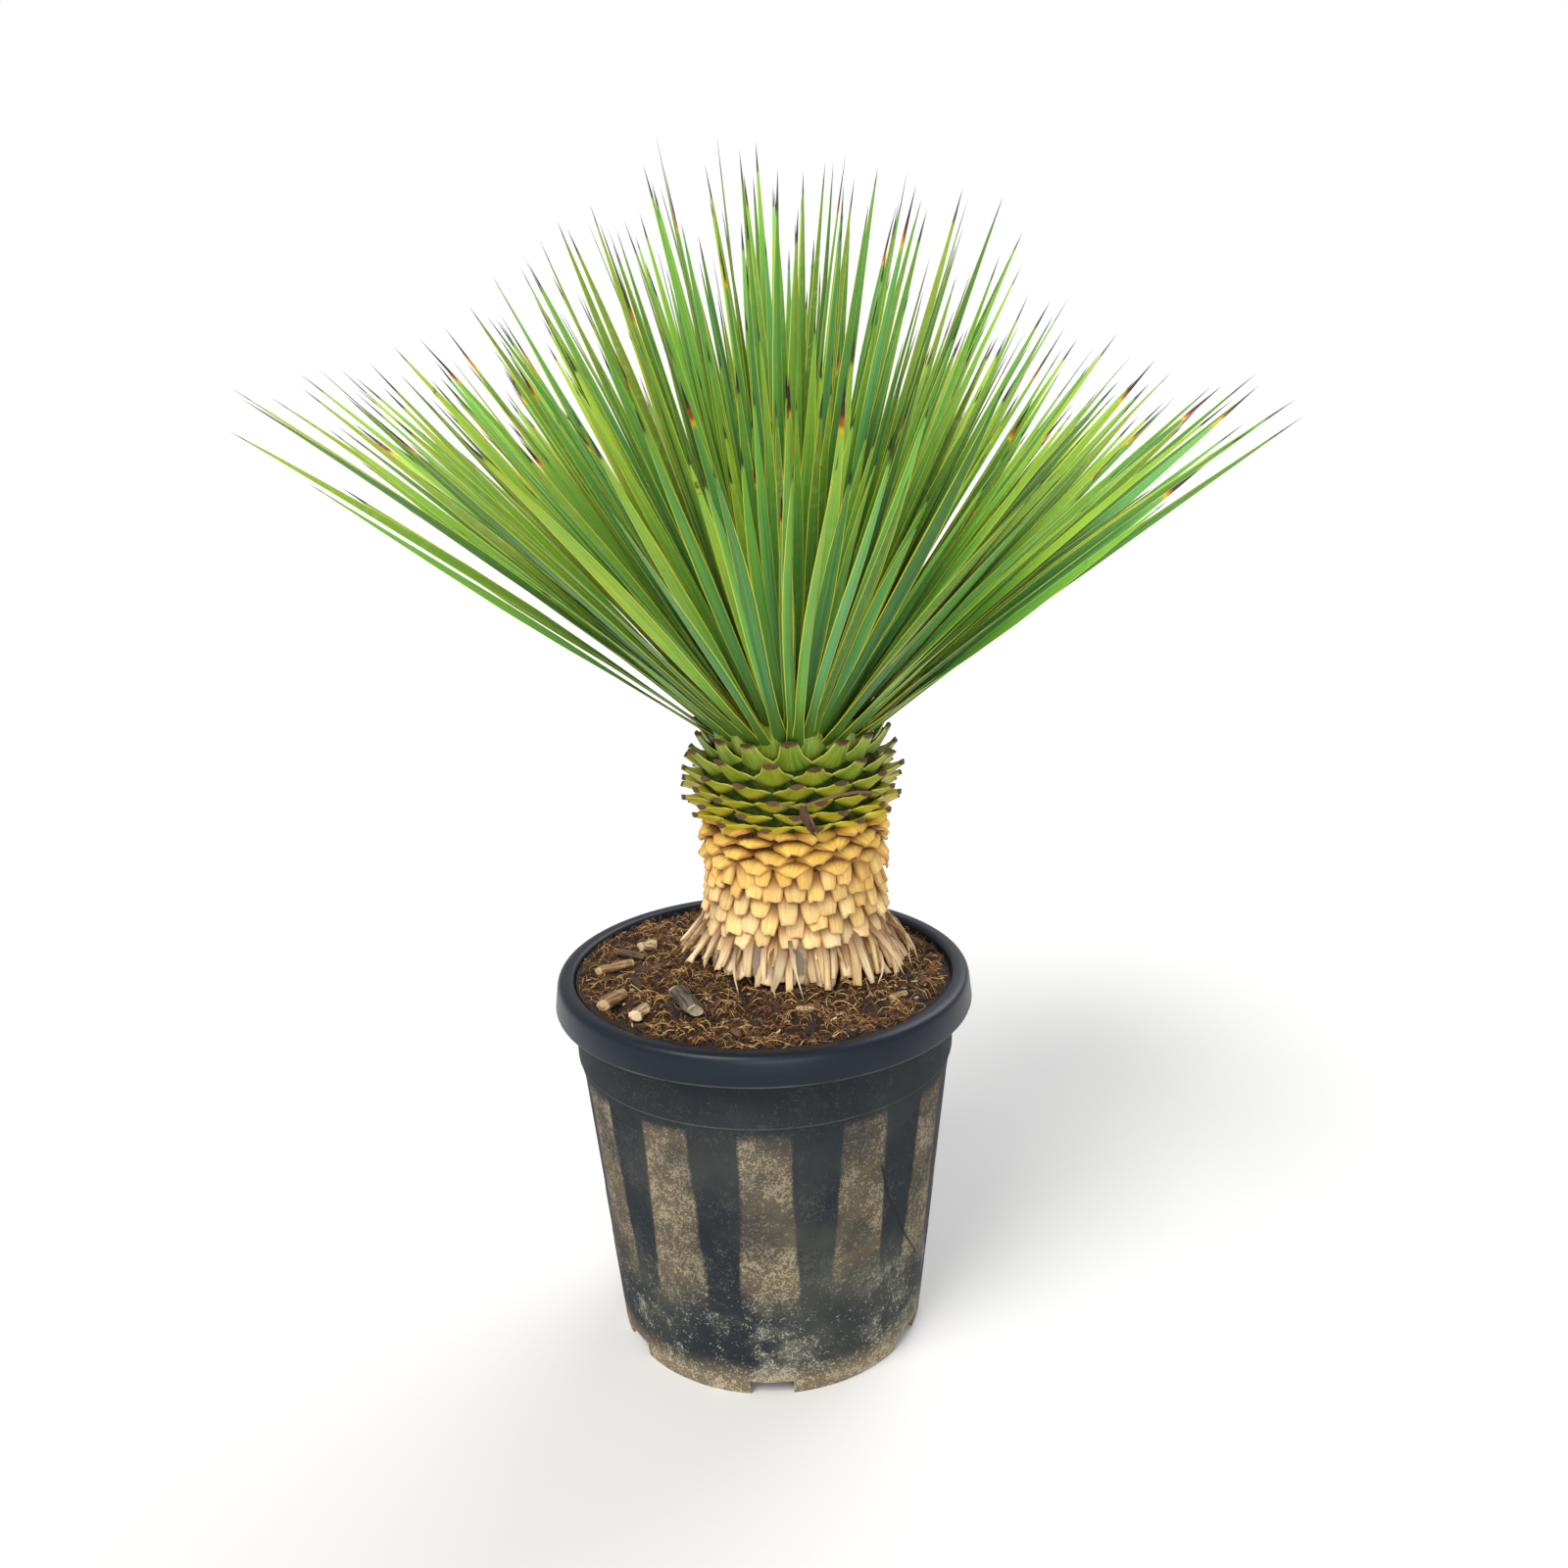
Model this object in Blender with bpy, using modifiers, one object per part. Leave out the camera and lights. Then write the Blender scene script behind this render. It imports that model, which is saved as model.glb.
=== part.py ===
"""Potted yucca: a trunk of cut leaf bases with a crown of narrow leaves, in a plastic nursery pot.

Metres, +Z up. The origin is the centre of the pot's foot, on the surface that the pot stands on.
-Y is the front. The trunk stands a little right of and behind the pot's axis.
"""

import math
import random

import bmesh
import bpy
from mathutils import Vector, noise
from mathutils.bvhtree import BVHTree

# Driving dimensions of the pot
POT_HEIGHT = 0.320
RIM_TOP_RADIUS = 0.1700
BAND_RADIUS = 0.1736
BAND_HEIGHT = 0.0240
BAND_THICKNESS = 0.0030
LIP_THICKNESS = 0.0050
COLLAR_TOP_RADIUS = 0.1588
COLLAR_BOTTOM_RADIUS = 0.1572
COLLAR_BOTTOM = 0.2530
COLLAR_STEP = 0.0016
WALL_TOP_RADIUS = COLLAR_BOTTOM_RADIUS - COLLAR_STEP
WALL_THICKNESS = 0.0028
BASE_RADIUS = 0.1308
RING_THICKNESS = 0.0045
FLOOR_UNDERSIDE = 0.0138
FLOOR_THICKNESS = 0.0030
FOOT_RADIUS = 0.0240
POT_SIDES = 48

# Flutes in the pot's wall: how deep each side is, from the front round, in a pattern of four
FLUTE_PATTERN = (0.0, 0.6, 1.0, 0.6)
FLUTE_DEPTH = 0.0012
FLUTE_TOP = 0.2450
FLUTE_RUN_IN = 0.0050
FLUTE_BOTTOM = 0.1050
FLUTE_END = 0.0700

# Notches in the base ring and drain holes in the floor
NOTCH_COUNT = 6
NOTCH_WIDTH = 0.0350
NOTCH_HEIGHT = 0.0125
DRAIN_RADIUS = 0.0060
DRAIN_CIRCLE = 0.0850

# Soil
GAP = 0.0003
SOIL_EDGE = 0.3120
SOIL_MOUND = 0.0110
SOIL_MOUND_REACH = 0.0600
SOIL_TILT = (-0.020, -0.022)
SOIL_BUMP = 0.0034
SOIL_RINGS = 7
SEAT_MARGIN = 0.0110

# Trunk
TRUNK_X = 0.0280
TRUNK_Y = 0.0150
TRUNK_AXIS = (TRUNK_X, TRUNK_Y)
STUMP_RADIUS = 0.0580
STUMP_BOTTOM = 0.2620
STUMP_TOP = 0.3360
HOLE_SIDES = 36
DRY_TOP = 0.4500
GREEN_TOP = 0.5080

# Dry leaf bases, in rows that hang like shingles, raised from the trunk by a formula
DRY_ROWS = 7
DRY_PER_ROW = 18
DRY_COLUMNS = 4
DRY_LOWEST_END = 0.3480
DRY_LIFT = 0.0070
DRY_UNDERCUT = 0.0030
DRY_CLEFT = 0.0024

# Skirt of dry strips over the soil
SKIRT_TIERS = 2
SKIRT_PER_TIER = 15
SKIRT_TOP = 0.3640
SKIRT_REACH = 0.0900
SKIRT_WIDTH = 0.0120
SKIRT_THICKNESS = 0.0016

# Green cut leaf bases
GREEN_ROWS = 6
GREEN_PER_ROW = 14
GREEN_FIRST_ROW = 0.4575
GREEN_ROW_STEP = 0.0095
GREEN_BASE_WIDTH = 0.0280
GREEN_BASE_HEIGHT = 0.0108
GREEN_STUB_SHARE = 0.38
GREEN_STUB_LENGTH = 0.0170
GREEN_ROOT = 0.0030
GREEN_SIDES = 14

# Crown of leaves
LEAF_COUNT = 222
LEAF_WIDTH = 0.0150
LEAF_NECK_WIDTH = 0.0098
LEAF_THICKNESS = 0.0020
LEAF_ROLL = math.radians(62.0)
CROWN_BASE = GREEN_TOP + GAP
CROWN_RADIUS = 0.0600
CROWN_HEIGHT = 0.0560
CROWN_SIDES = 16
SEAT_RISE = 0.0058
LOWEST_ELEVATION = math.radians(36.0)
GOLDEN_ANGLE = math.pi * (3.0 - math.sqrt(5.0))
LEAF_PHASE = 0.0
LOW_LEAF_REACH = 0.416
TOP_LEAF_REACH = 0.392
LOW_LEAF_TRIM = 0.04
LEFT_LEAF_GAIN = 0.10

FLAT_ANGLE = math.radians(0.3)
SHARP_ANGLE = math.radians(32.0)
SEED = 232


def clear_scene():
    """Remove every object that the new scene starts with."""
    for obj in list(bpy.data.objects):
        bpy.data.objects.remove(obj, do_unlink=True)


def new_collection(name):
    """Return a new collection, linked to the scene."""
    collection = bpy.data.collections.new(name)
    bpy.context.scene.collection.children.link(collection)
    return collection


def new_material(name, colour, roughness):
    """Return a Principled material with the given colour and roughness, not metallic."""
    material = bpy.data.materials.new(name)
    material.use_nodes = True
    shader = material.node_tree.nodes["Principled BSDF"]
    shader.inputs["Base Color"].default_value = (*colour, 1.0)
    shader.inputs["Roughness"].default_value = roughness
    shader.inputs["Metallic"].default_value = 0.0
    material.diffuse_color = (*colour, 1.0)
    return material


def object_from_bmesh(name, bm, collection):
    """Write a bmesh into a new object of the collection."""
    mesh = bpy.data.meshes.new(name)
    bm.to_mesh(mesh)
    bm.free()
    obj = bpy.data.objects.new(name, mesh)
    collection.objects.link(obj)
    return obj


def select_only(obj):
    """Make one object the active and only selected one."""
    bpy.ops.object.select_all(action="DESELECT")
    obj.select_set(True)
    bpy.context.view_layer.objects.active = obj


def apply_modifiers(obj):
    """Apply every modifier of an object, in order."""
    select_only(obj)
    for modifier in list(obj.modifiers):
        bpy.ops.object.modifier_apply(modifier=modifier.name)


def turned(name, profile, sides, collection):
    """Return a solid turned about Z from (radius, height) points, top to bottom down the outer side."""
    mesh = bpy.data.meshes.new(name)
    points = [(radius, 0.0, height) for radius, height in profile]
    edges = [(index, index + 1) for index in range(len(points) - 1)]
    mesh.from_pydata(points, edges, [])
    obj = bpy.data.objects.new(name, mesh)
    collection.objects.link(obj)
    screw = obj.modifiers.new("turn", "SCREW")
    screw.axis = "Z"
    screw.steps = sides
    screw.render_steps = sides
    screw.use_merge_vertices = True
    screw.merge_threshold = 0.00001
    screw.use_smooth_shade = True
    apply_modifiers(obj)
    return obj


def finish_node(obj, slot, colour, roughness):
    """Shade a node smooth except at its sharp edges, and give it its own material."""
    obj.data.shade_smooth()
    obj.data.set_sharp_from_angle(angle=SHARP_ANGLE)
    obj.data.materials.append(new_material(slot, colour, roughness))


def cut(obj, cutters):
    """Subtract each cutter from the object and remove the cutters."""
    for cutter in cutters:
        cutter.hide_render = True
        cutter.display_type = "WIRE"
        boolean = obj.modifiers.new("cut", "BOOLEAN")
        boolean.operation = "DIFFERENCE"
        boolean.object = cutter
    apply_modifiers(obj)
    for cutter in cutters:
        bpy.data.objects.remove(cutter, do_unlink=True)
    join_flat_faces(obj.data)


def fuse(obj, repeats):
    """Join a collection of closed repeats to the object in one union and remove the repeats."""
    for mesh in [obj.data] + [repeat.data for repeat in repeats.objects]:
        triangulate(mesh)
    union = obj.modifiers.new("fuse", "BOOLEAN")
    union.operation = "UNION"
    union.operand_type = "COLLECTION"
    union.collection = repeats
    union.solver = "MANIFOLD"
    apply_modifiers(obj)
    for repeat in list(repeats.objects):
        bpy.data.objects.remove(repeat, do_unlink=True)
    bpy.data.collections.remove(repeats)
    drop_scraps(obj.data)
    join_flat_faces(obj.data)


def join_flat_faces(mesh):
    """Join faces that lie in one plane and split the result into the fewest triangles."""
    bm = bmesh.new()
    bm.from_mesh(mesh)
    bmesh.ops.dissolve_limit(bm, angle_limit=FLAT_ANGLE, verts=bm.verts[:], edges=bm.edges[:])
    bmesh.ops.triangulate(bm, faces=bm.faces[:])
    bm.to_mesh(mesh)
    bm.free()


def triangulate(mesh):
    """Split a mesh's faces into triangles."""
    bm = bmesh.new()
    bm.from_mesh(mesh)
    bmesh.ops.triangulate(bm, faces=bm.faces[:])
    bm.to_mesh(mesh)
    bm.free()


def drop_scraps(mesh):
    """Keep only the largest connected body of a mesh."""
    bm = bmesh.new()
    bm.from_mesh(mesh)
    unseen = set(bm.verts)
    bodies = []
    while unseen:
        stack = [unseen.pop()]
        body = set(stack)
        while stack:
            vertex = stack.pop()
            for edge in vertex.link_edges:
                other = edge.other_vert(vertex)
                if other in unseen:
                    unseen.discard(other)
                    body.add(other)
                    stack.append(other)
        bodies.append(body)
    bodies.sort(key=len)
    for body in bodies[:-1]:
        bmesh.ops.delete(bm, geom=list(body), context="VERTS")
    bm.to_mesh(mesh)
    bm.free()


def around(angle, radius, height, centre=(0.0, 0.0)):
    """Return the point at an angle and a radius about a vertical axis."""
    return Vector((centre[0] + radius * math.cos(angle), centre[1] + radius * math.sin(angle), height))


def along(points, value):
    """Read a piecewise straight curve of (input, output) points."""
    for (start, first), (end, last) in zip(points, points[1:]):
        if value <= end:
            share = max(0.0, (value - start) / (end - start))
            return first + (last - first) * share
    return points[-1][1]


def wall_radius(height):
    """Return the pot wall's outer radius at a height, without its flutes."""
    share = height / COLLAR_BOTTOM
    return BASE_RADIUS + (WALL_TOP_RADIUS - BASE_RADIUS) * share


def inner_profile():
    """Return the pot's inner surface as (radius, height) points, from the floor's centre to the lip."""
    floor_top = FLOOR_UNDERSIDE + FLOOR_THICKNESS
    return [
        (0.0, floor_top),
        (wall_radius(floor_top) - WALL_THICKNESS, floor_top),
        (WALL_TOP_RADIUS - WALL_THICKNESS, COLLAR_BOTTOM),
        (COLLAR_BOTTOM_RADIUS - WALL_THICKNESS, COLLAR_BOTTOM + LIP_THICKNESS),
        (COLLAR_TOP_RADIUS - WALL_THICKNESS, POT_HEIGHT - LIP_THICKNESS),
    ]


def pot_profile():
    """Return the pot's whole closed section, from the floor's centre over the lip to the foot."""
    lip = [
        (COLLAR_TOP_RADIUS - 0.0012, POT_HEIGHT - 0.0012),
        (COLLAR_TOP_RADIUS + 0.0008, POT_HEIGHT),
        (RIM_TOP_RADIUS - 0.0040, POT_HEIGHT),
        (RIM_TOP_RADIUS - 0.0005, POT_HEIGHT - 0.0014),
        (RIM_TOP_RADIUS + 0.0008, POT_HEIGHT - 0.0045),
    ]
    band = [
        (BAND_RADIUS, POT_HEIGHT - BAND_HEIGHT),
        (BAND_RADIUS - BAND_THICKNESS, POT_HEIGHT - BAND_HEIGHT),
        (RIM_TOP_RADIUS - BAND_THICKNESS, POT_HEIGHT - LIP_THICKNESS),
    ]
    wall = [
        (COLLAR_TOP_RADIUS, POT_HEIGHT - LIP_THICKNESS),
        (COLLAR_BOTTOM_RADIUS, COLLAR_BOTTOM + COLLAR_STEP),
        (WALL_TOP_RADIUS, COLLAR_BOTTOM),
    ]
    flutes = [
        (wall_radius(height), height)
        for height in (FLUTE_TOP + FLUTE_RUN_IN * 0.5, FLUTE_TOP - FLUTE_RUN_IN * 0.5, FLUTE_BOTTOM, FLUTE_END)
    ]
    foot = [
        (wall_radius(FLOOR_UNDERSIDE), FLOOR_UNDERSIDE),
        (BASE_RADIUS, 0.0),
        (BASE_RADIUS - RING_THICKNESS, 0.0),
        (BASE_RADIUS - RING_THICKNESS, FLOOR_UNDERSIDE),
        (FOOT_RADIUS, FLOOR_UNDERSIDE),
        (FOOT_RADIUS, 0.0),
        (0.0, 0.0),
    ]
    return inner_profile() + lip + band + wall + flutes + foot


def press_flutes(mesh):
    """Push the wall's outer vertices in by the flutes' pattern, fading out toward the base."""
    for vertex in mesh.vertices:
        x, y, height = vertex.co
        radius = math.hypot(x, y)
        on_wall = abs(radius - wall_radius(height)) < WALL_THICKNESS * 0.4
        if not on_wall or not FLUTE_BOTTOM - 0.001 < height < FLUTE_TOP:
            continue
        side = round((math.atan2(y, x) + math.pi * 0.5) / math.tau * POT_SIDES)
        depth = FLUTE_DEPTH * FLUTE_PATTERN[side % len(FLUTE_PATTERN)]
        vertex.co.x *= 1.0 - depth / radius
        vertex.co.y *= 1.0 - depth / radius


def box_cutter(name, size, centre, turn, collection):
    """Return a box cutter of a size, at a place and turned about Z."""
    bm = bmesh.new()
    bmesh.ops.create_cube(bm, size=1.0)
    bmesh.ops.scale(bm, vec=size, verts=bm.verts[:])
    cutter = object_from_bmesh(name, bm, collection)
    cutter.location = centre
    cutter.rotation_euler = (0.0, 0.0, turn)
    return cutter


def round_cutter(name, radius, bottom, top, centre, sides, collection):
    """Return an upright cylinder cutter between two heights."""
    bm = bmesh.new()
    bmesh.ops.create_cone(
        bm, cap_ends=True, segments=sides, radius1=radius, radius2=radius, depth=top - bottom
    )
    cutter = object_from_bmesh(name, bm, collection)
    cutter.location = (centre[0], centre[1], (top + bottom) * 0.5)
    return cutter


def make_pot(parts, cutters):
    """Make the moulded pot, with its rim, flutes, notches, drain holes and centre foot."""
    pot = turned("pot", pot_profile(), POT_SIDES, parts)
    press_flutes(pot.data)
    tools = []
    for index in range(NOTCH_COUNT):
        angle = -math.pi * 0.5 + index * math.tau / NOTCH_COUNT
        place = around(angle, BASE_RADIUS, NOTCH_HEIGHT * 0.5 - 0.001)
        size = (RING_THICKNESS * 4.0, NOTCH_WIDTH, NOTCH_HEIGHT + 0.002)
        tools.append(box_cutter(f"notch_{index}", size, place, angle, cutters))
        hole_angle = angle + math.pi / NOTCH_COUNT
        hole = around(hole_angle, DRAIN_CIRCLE, 0.0)
        tools.append(
            round_cutter(f"drain_{index}", DRAIN_RADIUS, 0.0, FLOOR_UNDERSIDE * 2.0, hole, 12, cutters)
        )
    cut(pot, tools)
    finish_node(pot, "pot_plastic", (0.035, 0.042, 0.052), 0.55)
    return pot


def chip_seats():
    """Return each chip as (x, y, length, width, height, turn), where it lies on the soil."""
    return (
        (-0.1000, 0.0450, 0.0150, 0.0130, 0.0090, 0.3),
        (-0.1130, 0.0250, 0.0290, 0.0080, 0.0060, -0.5),
        (-0.1235, -0.0040, 0.0340, 0.0100, 0.0080, 0.55),
        (-0.1170, -0.0700, 0.0290, 0.0130, 0.0110, 1.05),
        (-0.0930, -0.0960, 0.0190, 0.0110, 0.0090, 1.2),
        (-0.0590, -0.0840, 0.0440, 0.0150, 0.0120, -1.15),
        (-0.0860, -0.0060, 0.0120, 0.0080, 0.0060, 0.9),
        (0.0330, -0.0950, 0.0140, 0.0080, 0.0060, 0.1),
        (0.1080, -0.0640, 0.0170, 0.0070, 0.0050, 0.7),
    )


def soil_height(x, y):
    """Return the soil's bumpy height, mounded round the trunk and level under each chip."""
    from_trunk = math.hypot(x - TRUNK_X, y - TRUNK_Y) - STUMP_RADIUS
    mound = SOIL_MOUND * math.exp(-max(0.0, from_trunk) / SOIL_MOUND_REACH)
    bumps = noise.noise(Vector((x, y, 0.2)) * 48.0) + 0.6 * noise.noise(Vector((x, y, 0.7)) * 110.0)
    edge = min(1.0, max(0.0, math.hypot(x, y) - 0.135) / 0.02)
    return SOIL_EDGE + mound + SOIL_TILT[0] * x + SOIL_TILT[1] * y + SOIL_BUMP * bumps * (1.0 - 0.7 * edge)


def surface_of(obj):
    """Return an object's surface, for looking up heights on it."""
    bm = bmesh.new()
    bm.from_mesh(obj.data)
    surface = BVHTree.FromBMesh(bm)
    bm.free()
    return surface


def level_at(x, y, height):
    """Return the soil's height, levelled round each chip's seat."""
    levels = [
        soil_height(seat_x, seat_y)
        for seat_x, seat_y, length, *_ in chip_seats()
        if math.hypot(x - seat_x, y - seat_y) < length * 0.5 + SEAT_MARGIN
    ]
    return min(levels) if levels else height


def top_under(surface, seat):
    """Return the height of the highest point of a surface under a chip."""
    x, y, length, width, _, turn = seat
    highest = 0.0
    for step in range(15):
        for row in range(9):
            forward = (step / 14.0 - 0.5) * length
            across = (row / 8.0 - 0.4) * width * 1.3
            place_x = x + forward * math.cos(turn) - across * math.sin(turn)
            place_y = y + forward * math.sin(turn) + across * math.cos(turn)
            place = surface.ray_cast(Vector((place_x, place_y, POT_HEIGHT * 2.0)), Vector((0.0, 0.0, -1.0)))[0]
            highest = max(highest, place.z)
    return highest


def make_soil(parts, cutters):
    """Make the soil as a turned fill whose top is raised by a formula, with a plain hole for the trunk."""
    inner = inner_profile()
    side = [(radius - GAP, height) for radius, height in inner[1:]]
    bottom = inner[0][1] + GAP
    side[0] = (side[0][0], bottom)
    side[-1] = (side[-1][0], SOIL_EDGE)
    edge_radius = side[-1][0]
    top = [(edge_radius * index / SOIL_RINGS, SOIL_EDGE) for index in range(SOIL_RINGS)]
    profile = top + list(reversed(side)) + [(0.0, bottom)]
    soil = turned("soil", profile, POT_SIDES, parts)
    for vertex in soil.data.vertices:
        x, y, height = vertex.co
        if height > SOIL_EDGE - 0.001:
            vertex.co.z = level_at(x, y, soil_height(x, y))
    hole_top = SOIL_EDGE + 0.05
    hole = round_cutter(
        "trunk_hole", STUMP_RADIUS + 2.0 * GAP, STUMP_BOTTOM - GAP, hole_top,
        TRUNK_AXIS, HOLE_SIDES, cutters,
    )
    triangulate(soil.data)
    cut(soil, [hole])
    finish_node(soil, "soil_coir", (0.085, 0.045, 0.024), 0.95)
    return soil


def dry_core_radius(height):
    """Return the radius of the trunk's core in the dry zone."""
    return along(((0.350, 0.0680), (0.378, 0.0665), (0.412, 0.0655), (DRY_TOP, 0.0690)), height)


def green_core_radius(height):
    """Return the radius of the trunk's core in the green zone."""
    return along(((DRY_TOP, 0.0700), (0.466, 0.0730), (0.486, 0.0730), (0.498, 0.0685), (GREEN_TOP, 0.0620)), height)


def shift_mesh(mesh, x, y):
    """Move a mesh's vertices sideways."""
    for vertex in mesh.vertices:
        vertex.co.x += x
        vertex.co.y += y


def bar_through(name, rings, collection):
    """Return a closed four-sided bar through rings of four points, root to tip, or to a pointed tip."""
    steps = len(rings) - 1
    pointed = len(rings[-1]) == 1
    bm = bmesh.new()
    bmesh.ops.create_cone(
        bm, cap_ends=True, segments=4, radius1=1.0, radius2=0.0 if pointed else 1.0, depth=1.0
    )
    for index in range(1, steps):
        geometry = bm.verts[:] + bm.edges[:] + bm.faces[:]
        level = index / steps - 0.5
        bmesh.ops.bisect_plane(bm, geom=geometry, plane_co=(0.0, 0.0, level), plane_no=(0.0, 0.0, 1.0))
    for vertex in bm.verts:
        ring = rings[round((vertex.co.z + 0.5) * steps)]
        corner = round((math.atan2(vertex.co.y, vertex.co.x) % math.tau) / (math.pi * 0.5))
        vertex.co = ring[corner % len(ring)]
    face_outward(bm)
    return object_from_bmesh(name, bm, collection)


def face_outward(bm):
    """Turn every face of a closed bmesh outward."""
    if bm.calc_volume(signed=True) < 0.0:
        bmesh.ops.reverse_faces(bm, faces=bm.faces[:])
    bm.normal_update()


def bar_ring(centre, side, up, width, height):
    """Return the four corners of a bar's rectangular section."""
    across = side * (width * 0.5)
    rise = up * (height * 0.5)
    return (centre + across + rise, centre - across + rise, centre - across - rise, centre + across - rise)


def diamond_ring(centre, side, up, width, height):
    """Return the four corners of a blade's diamond section, edge, back, edge, front."""
    across = side * (width * 0.5)
    rise = up * (height * 0.5)
    return (centre + across, centre + rise, centre - across, centre - rise)


def dry_profile():
    """Return the dry trunk's section: a lip and a step under it for each row, then the stump."""
    step = (DRY_TOP - DRY_LOWEST_END) / DRY_ROWS
    profile = [(0.0, DRY_TOP), (dry_core_radius(DRY_TOP), DRY_TOP)]
    for row in range(DRY_ROWS):
        end = DRY_TOP - (row + 1) * step
        profile.append((dry_core_radius(end) + DRY_LIFT, end))
        profile.append((dry_core_radius(end), end + DRY_UNDERCUT))
    profile += [(STUMP_RADIUS, STUMP_TOP), (STUMP_RADIUS, STUMP_BOTTOM), (0.0, STUMP_BOTTOM)]
    return profile


def shape_dry_rows(mesh, draw):
    """Part each row's lip into tongues: a cleft between neighbours, and ends of uneven length."""
    step = (DRY_TOP - DRY_LOWEST_END) / DRY_ROWS
    sides = DRY_PER_ROW * DRY_COLUMNS
    uneven = [[draw.uniform(-1.0, 1.0) for _ in range(DRY_PER_ROW)] for _ in range(DRY_ROWS)]
    for vertex in mesh.vertices:
        x, y, height = vertex.co
        row = round((DRY_TOP - height) / step) - 1
        radius = math.hypot(x, y)
        on_lip = abs(radius - dry_core_radius(height) - DRY_LIFT) < 0.0002
        if not on_lip or not 0 <= row < DRY_ROWS:
            continue
        column = round(math.atan2(y, x) % math.tau / math.tau * sides)
        column += (row % 2) * DRY_COLUMNS // 2
        place = column % DRY_COLUMNS
        own = uneven[row][(column // DRY_COLUMNS) % DRY_PER_ROW]
        if place == 0:
            grow = -DRY_LIFT + DRY_CLEFT
            vertex.co.z += step * 0.42
        else:
            grow = 0.0012 * own + (0.0006 if place == 2 else 0.0)
            vertex.co.z += 0.0012 * own
        vertex.co.x *= 1.0 + grow / radius
        vertex.co.y *= 1.0 + grow / radius


def skirt_strip(index, tier, draw, collection):
    """Add one long dry strip that splays from the trunk's foot down to the soil."""
    angle = (index + 0.5 * tier) * math.tau / SKIRT_PER_TIER + draw.uniform(-0.05, 0.05)
    top = SKIRT_TOP - 0.010 * tier
    reach = SKIRT_REACH + 0.006 * (1 - tier) + draw.uniform(-0.005, 0.005)
    end = around(angle + draw.uniform(-0.06, 0.06), reach, 0.0, TRUNK_AXIS)
    ground = SOIL_EDGE + SOIL_MOUND + SOIL_BUMP * 0.9
    end.z = ground + 0.0012 + draw.uniform(0.0, 0.007) * (1 - tier)
    root = around(angle, dry_core_radius(top) - 0.004, top, TRUNK_AXIS)
    middle = around(angle, dry_core_radius(top) + 0.0095 + 0.002 * (1 - tier), top - 0.017, TRUNK_AXIS)
    side = Vector((-math.sin(angle), math.cos(angle), 0.0))
    width = SKIRT_WIDTH * draw.uniform(0.8, 1.15)
    rings = []
    for centre, other, share in ((root, middle, 1.0), (middle, end, 1.0), (end, None, 0.75)):
        run = (end - middle) if other is None else (other - centre)
        up = side.cross(run).normalized()
        if up.z < 0.0:
            up.negate()
        rings.append(bar_ring(centre, side, up, width * share, SKIRT_THICKNESS))
    bar_through(f"skirt_{tier}_{index}", rings, collection)


def make_dry_trunk(parts):
    """Make the lower trunk: the stump, the rows of dry leaf bases and the skirt of strips."""
    draw = random.Random(SEED)
    trunk = turned("trunk_dry_bases", dry_profile(), DRY_PER_ROW * DRY_COLUMNS, parts)
    shape_dry_rows(trunk.data, draw)
    shift_mesh(trunk.data, TRUNK_X, TRUNK_Y)
    repeats = new_collection("dry_repeats")
    for tier in range(SKIRT_TIERS):
        for index in range(SKIRT_PER_TIER):
            skirt_strip(index, tier, draw, repeats)
    fuse(trunk, repeats)
    finish_node(trunk, "dry_leaf_base", (0.68, 0.42, 0.16), 0.8)
    return trunk


def green_stub(index, row, draw, collection):
    """Add one cut green leaf base: a wide diamond on the trunk that narrows to a cut stub."""
    angle = (index + 0.5 * (row % 2)) * math.tau / GREEN_PER_ROW + draw.uniform(-0.03, 0.03)
    height = GREEN_FIRST_ROW + row * GREEN_ROW_STEP
    share = row / (GREEN_ROWS - 1)
    rise = math.radians(6.0 + 46.0 * share * share) + draw.uniform(-0.08, 0.08)
    out = around(angle, 1.0, 0.0)
    side = Vector((-math.sin(angle), math.cos(angle), 0.0))
    run = out * math.cos(rise) + Vector((0.0, 0.0, math.sin(rise)))
    up = Vector((0.0, 0.0, 1.0))
    length = GREEN_STUB_LENGTH * (1.0 - 0.18 * share) * draw.uniform(0.85, 1.15)
    root = around(angle, green_core_radius(height) - GREEN_ROOT, height, TRUNK_AXIS)
    tip = root + out * GREEN_ROOT + run * length
    rings = (
        diamond_ring(root, side, up, GREEN_BASE_WIDTH, GREEN_BASE_HEIGHT),
        diamond_ring(tip, side, up, GREEN_BASE_WIDTH * GREEN_STUB_SHARE, GREEN_BASE_HEIGHT * GREEN_STUB_SHARE),
    )
    bar_through(f"green_{row}_{index}", rings, collection)


def make_green_trunk(parts):
    """Make the upper trunk: its core and the rows of green cut leaf bases."""
    draw = random.Random(SEED + 1)
    foot = DRY_TOP + GAP
    heights = (GREEN_TOP, 0.498, 0.486, 0.466, foot)
    profile = [(0.0, GREEN_TOP)]
    profile += [(green_core_radius(height), height) for height in heights]
    profile += [(0.0, foot)]
    trunk = turned("trunk_green_bases", profile, GREEN_SIDES, parts)
    shift_mesh(trunk.data, TRUNK_X, TRUNK_Y)
    repeats = new_collection("green_repeats")
    for row in range(GREEN_ROWS):
        for index in range(GREEN_PER_ROW):
            green_stub(index, row, draw, repeats)
    fuse(trunk, repeats)
    finish_node(trunk, "green_leaf_base", (0.30, 0.38, 0.05), 0.55)
    return trunk


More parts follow.
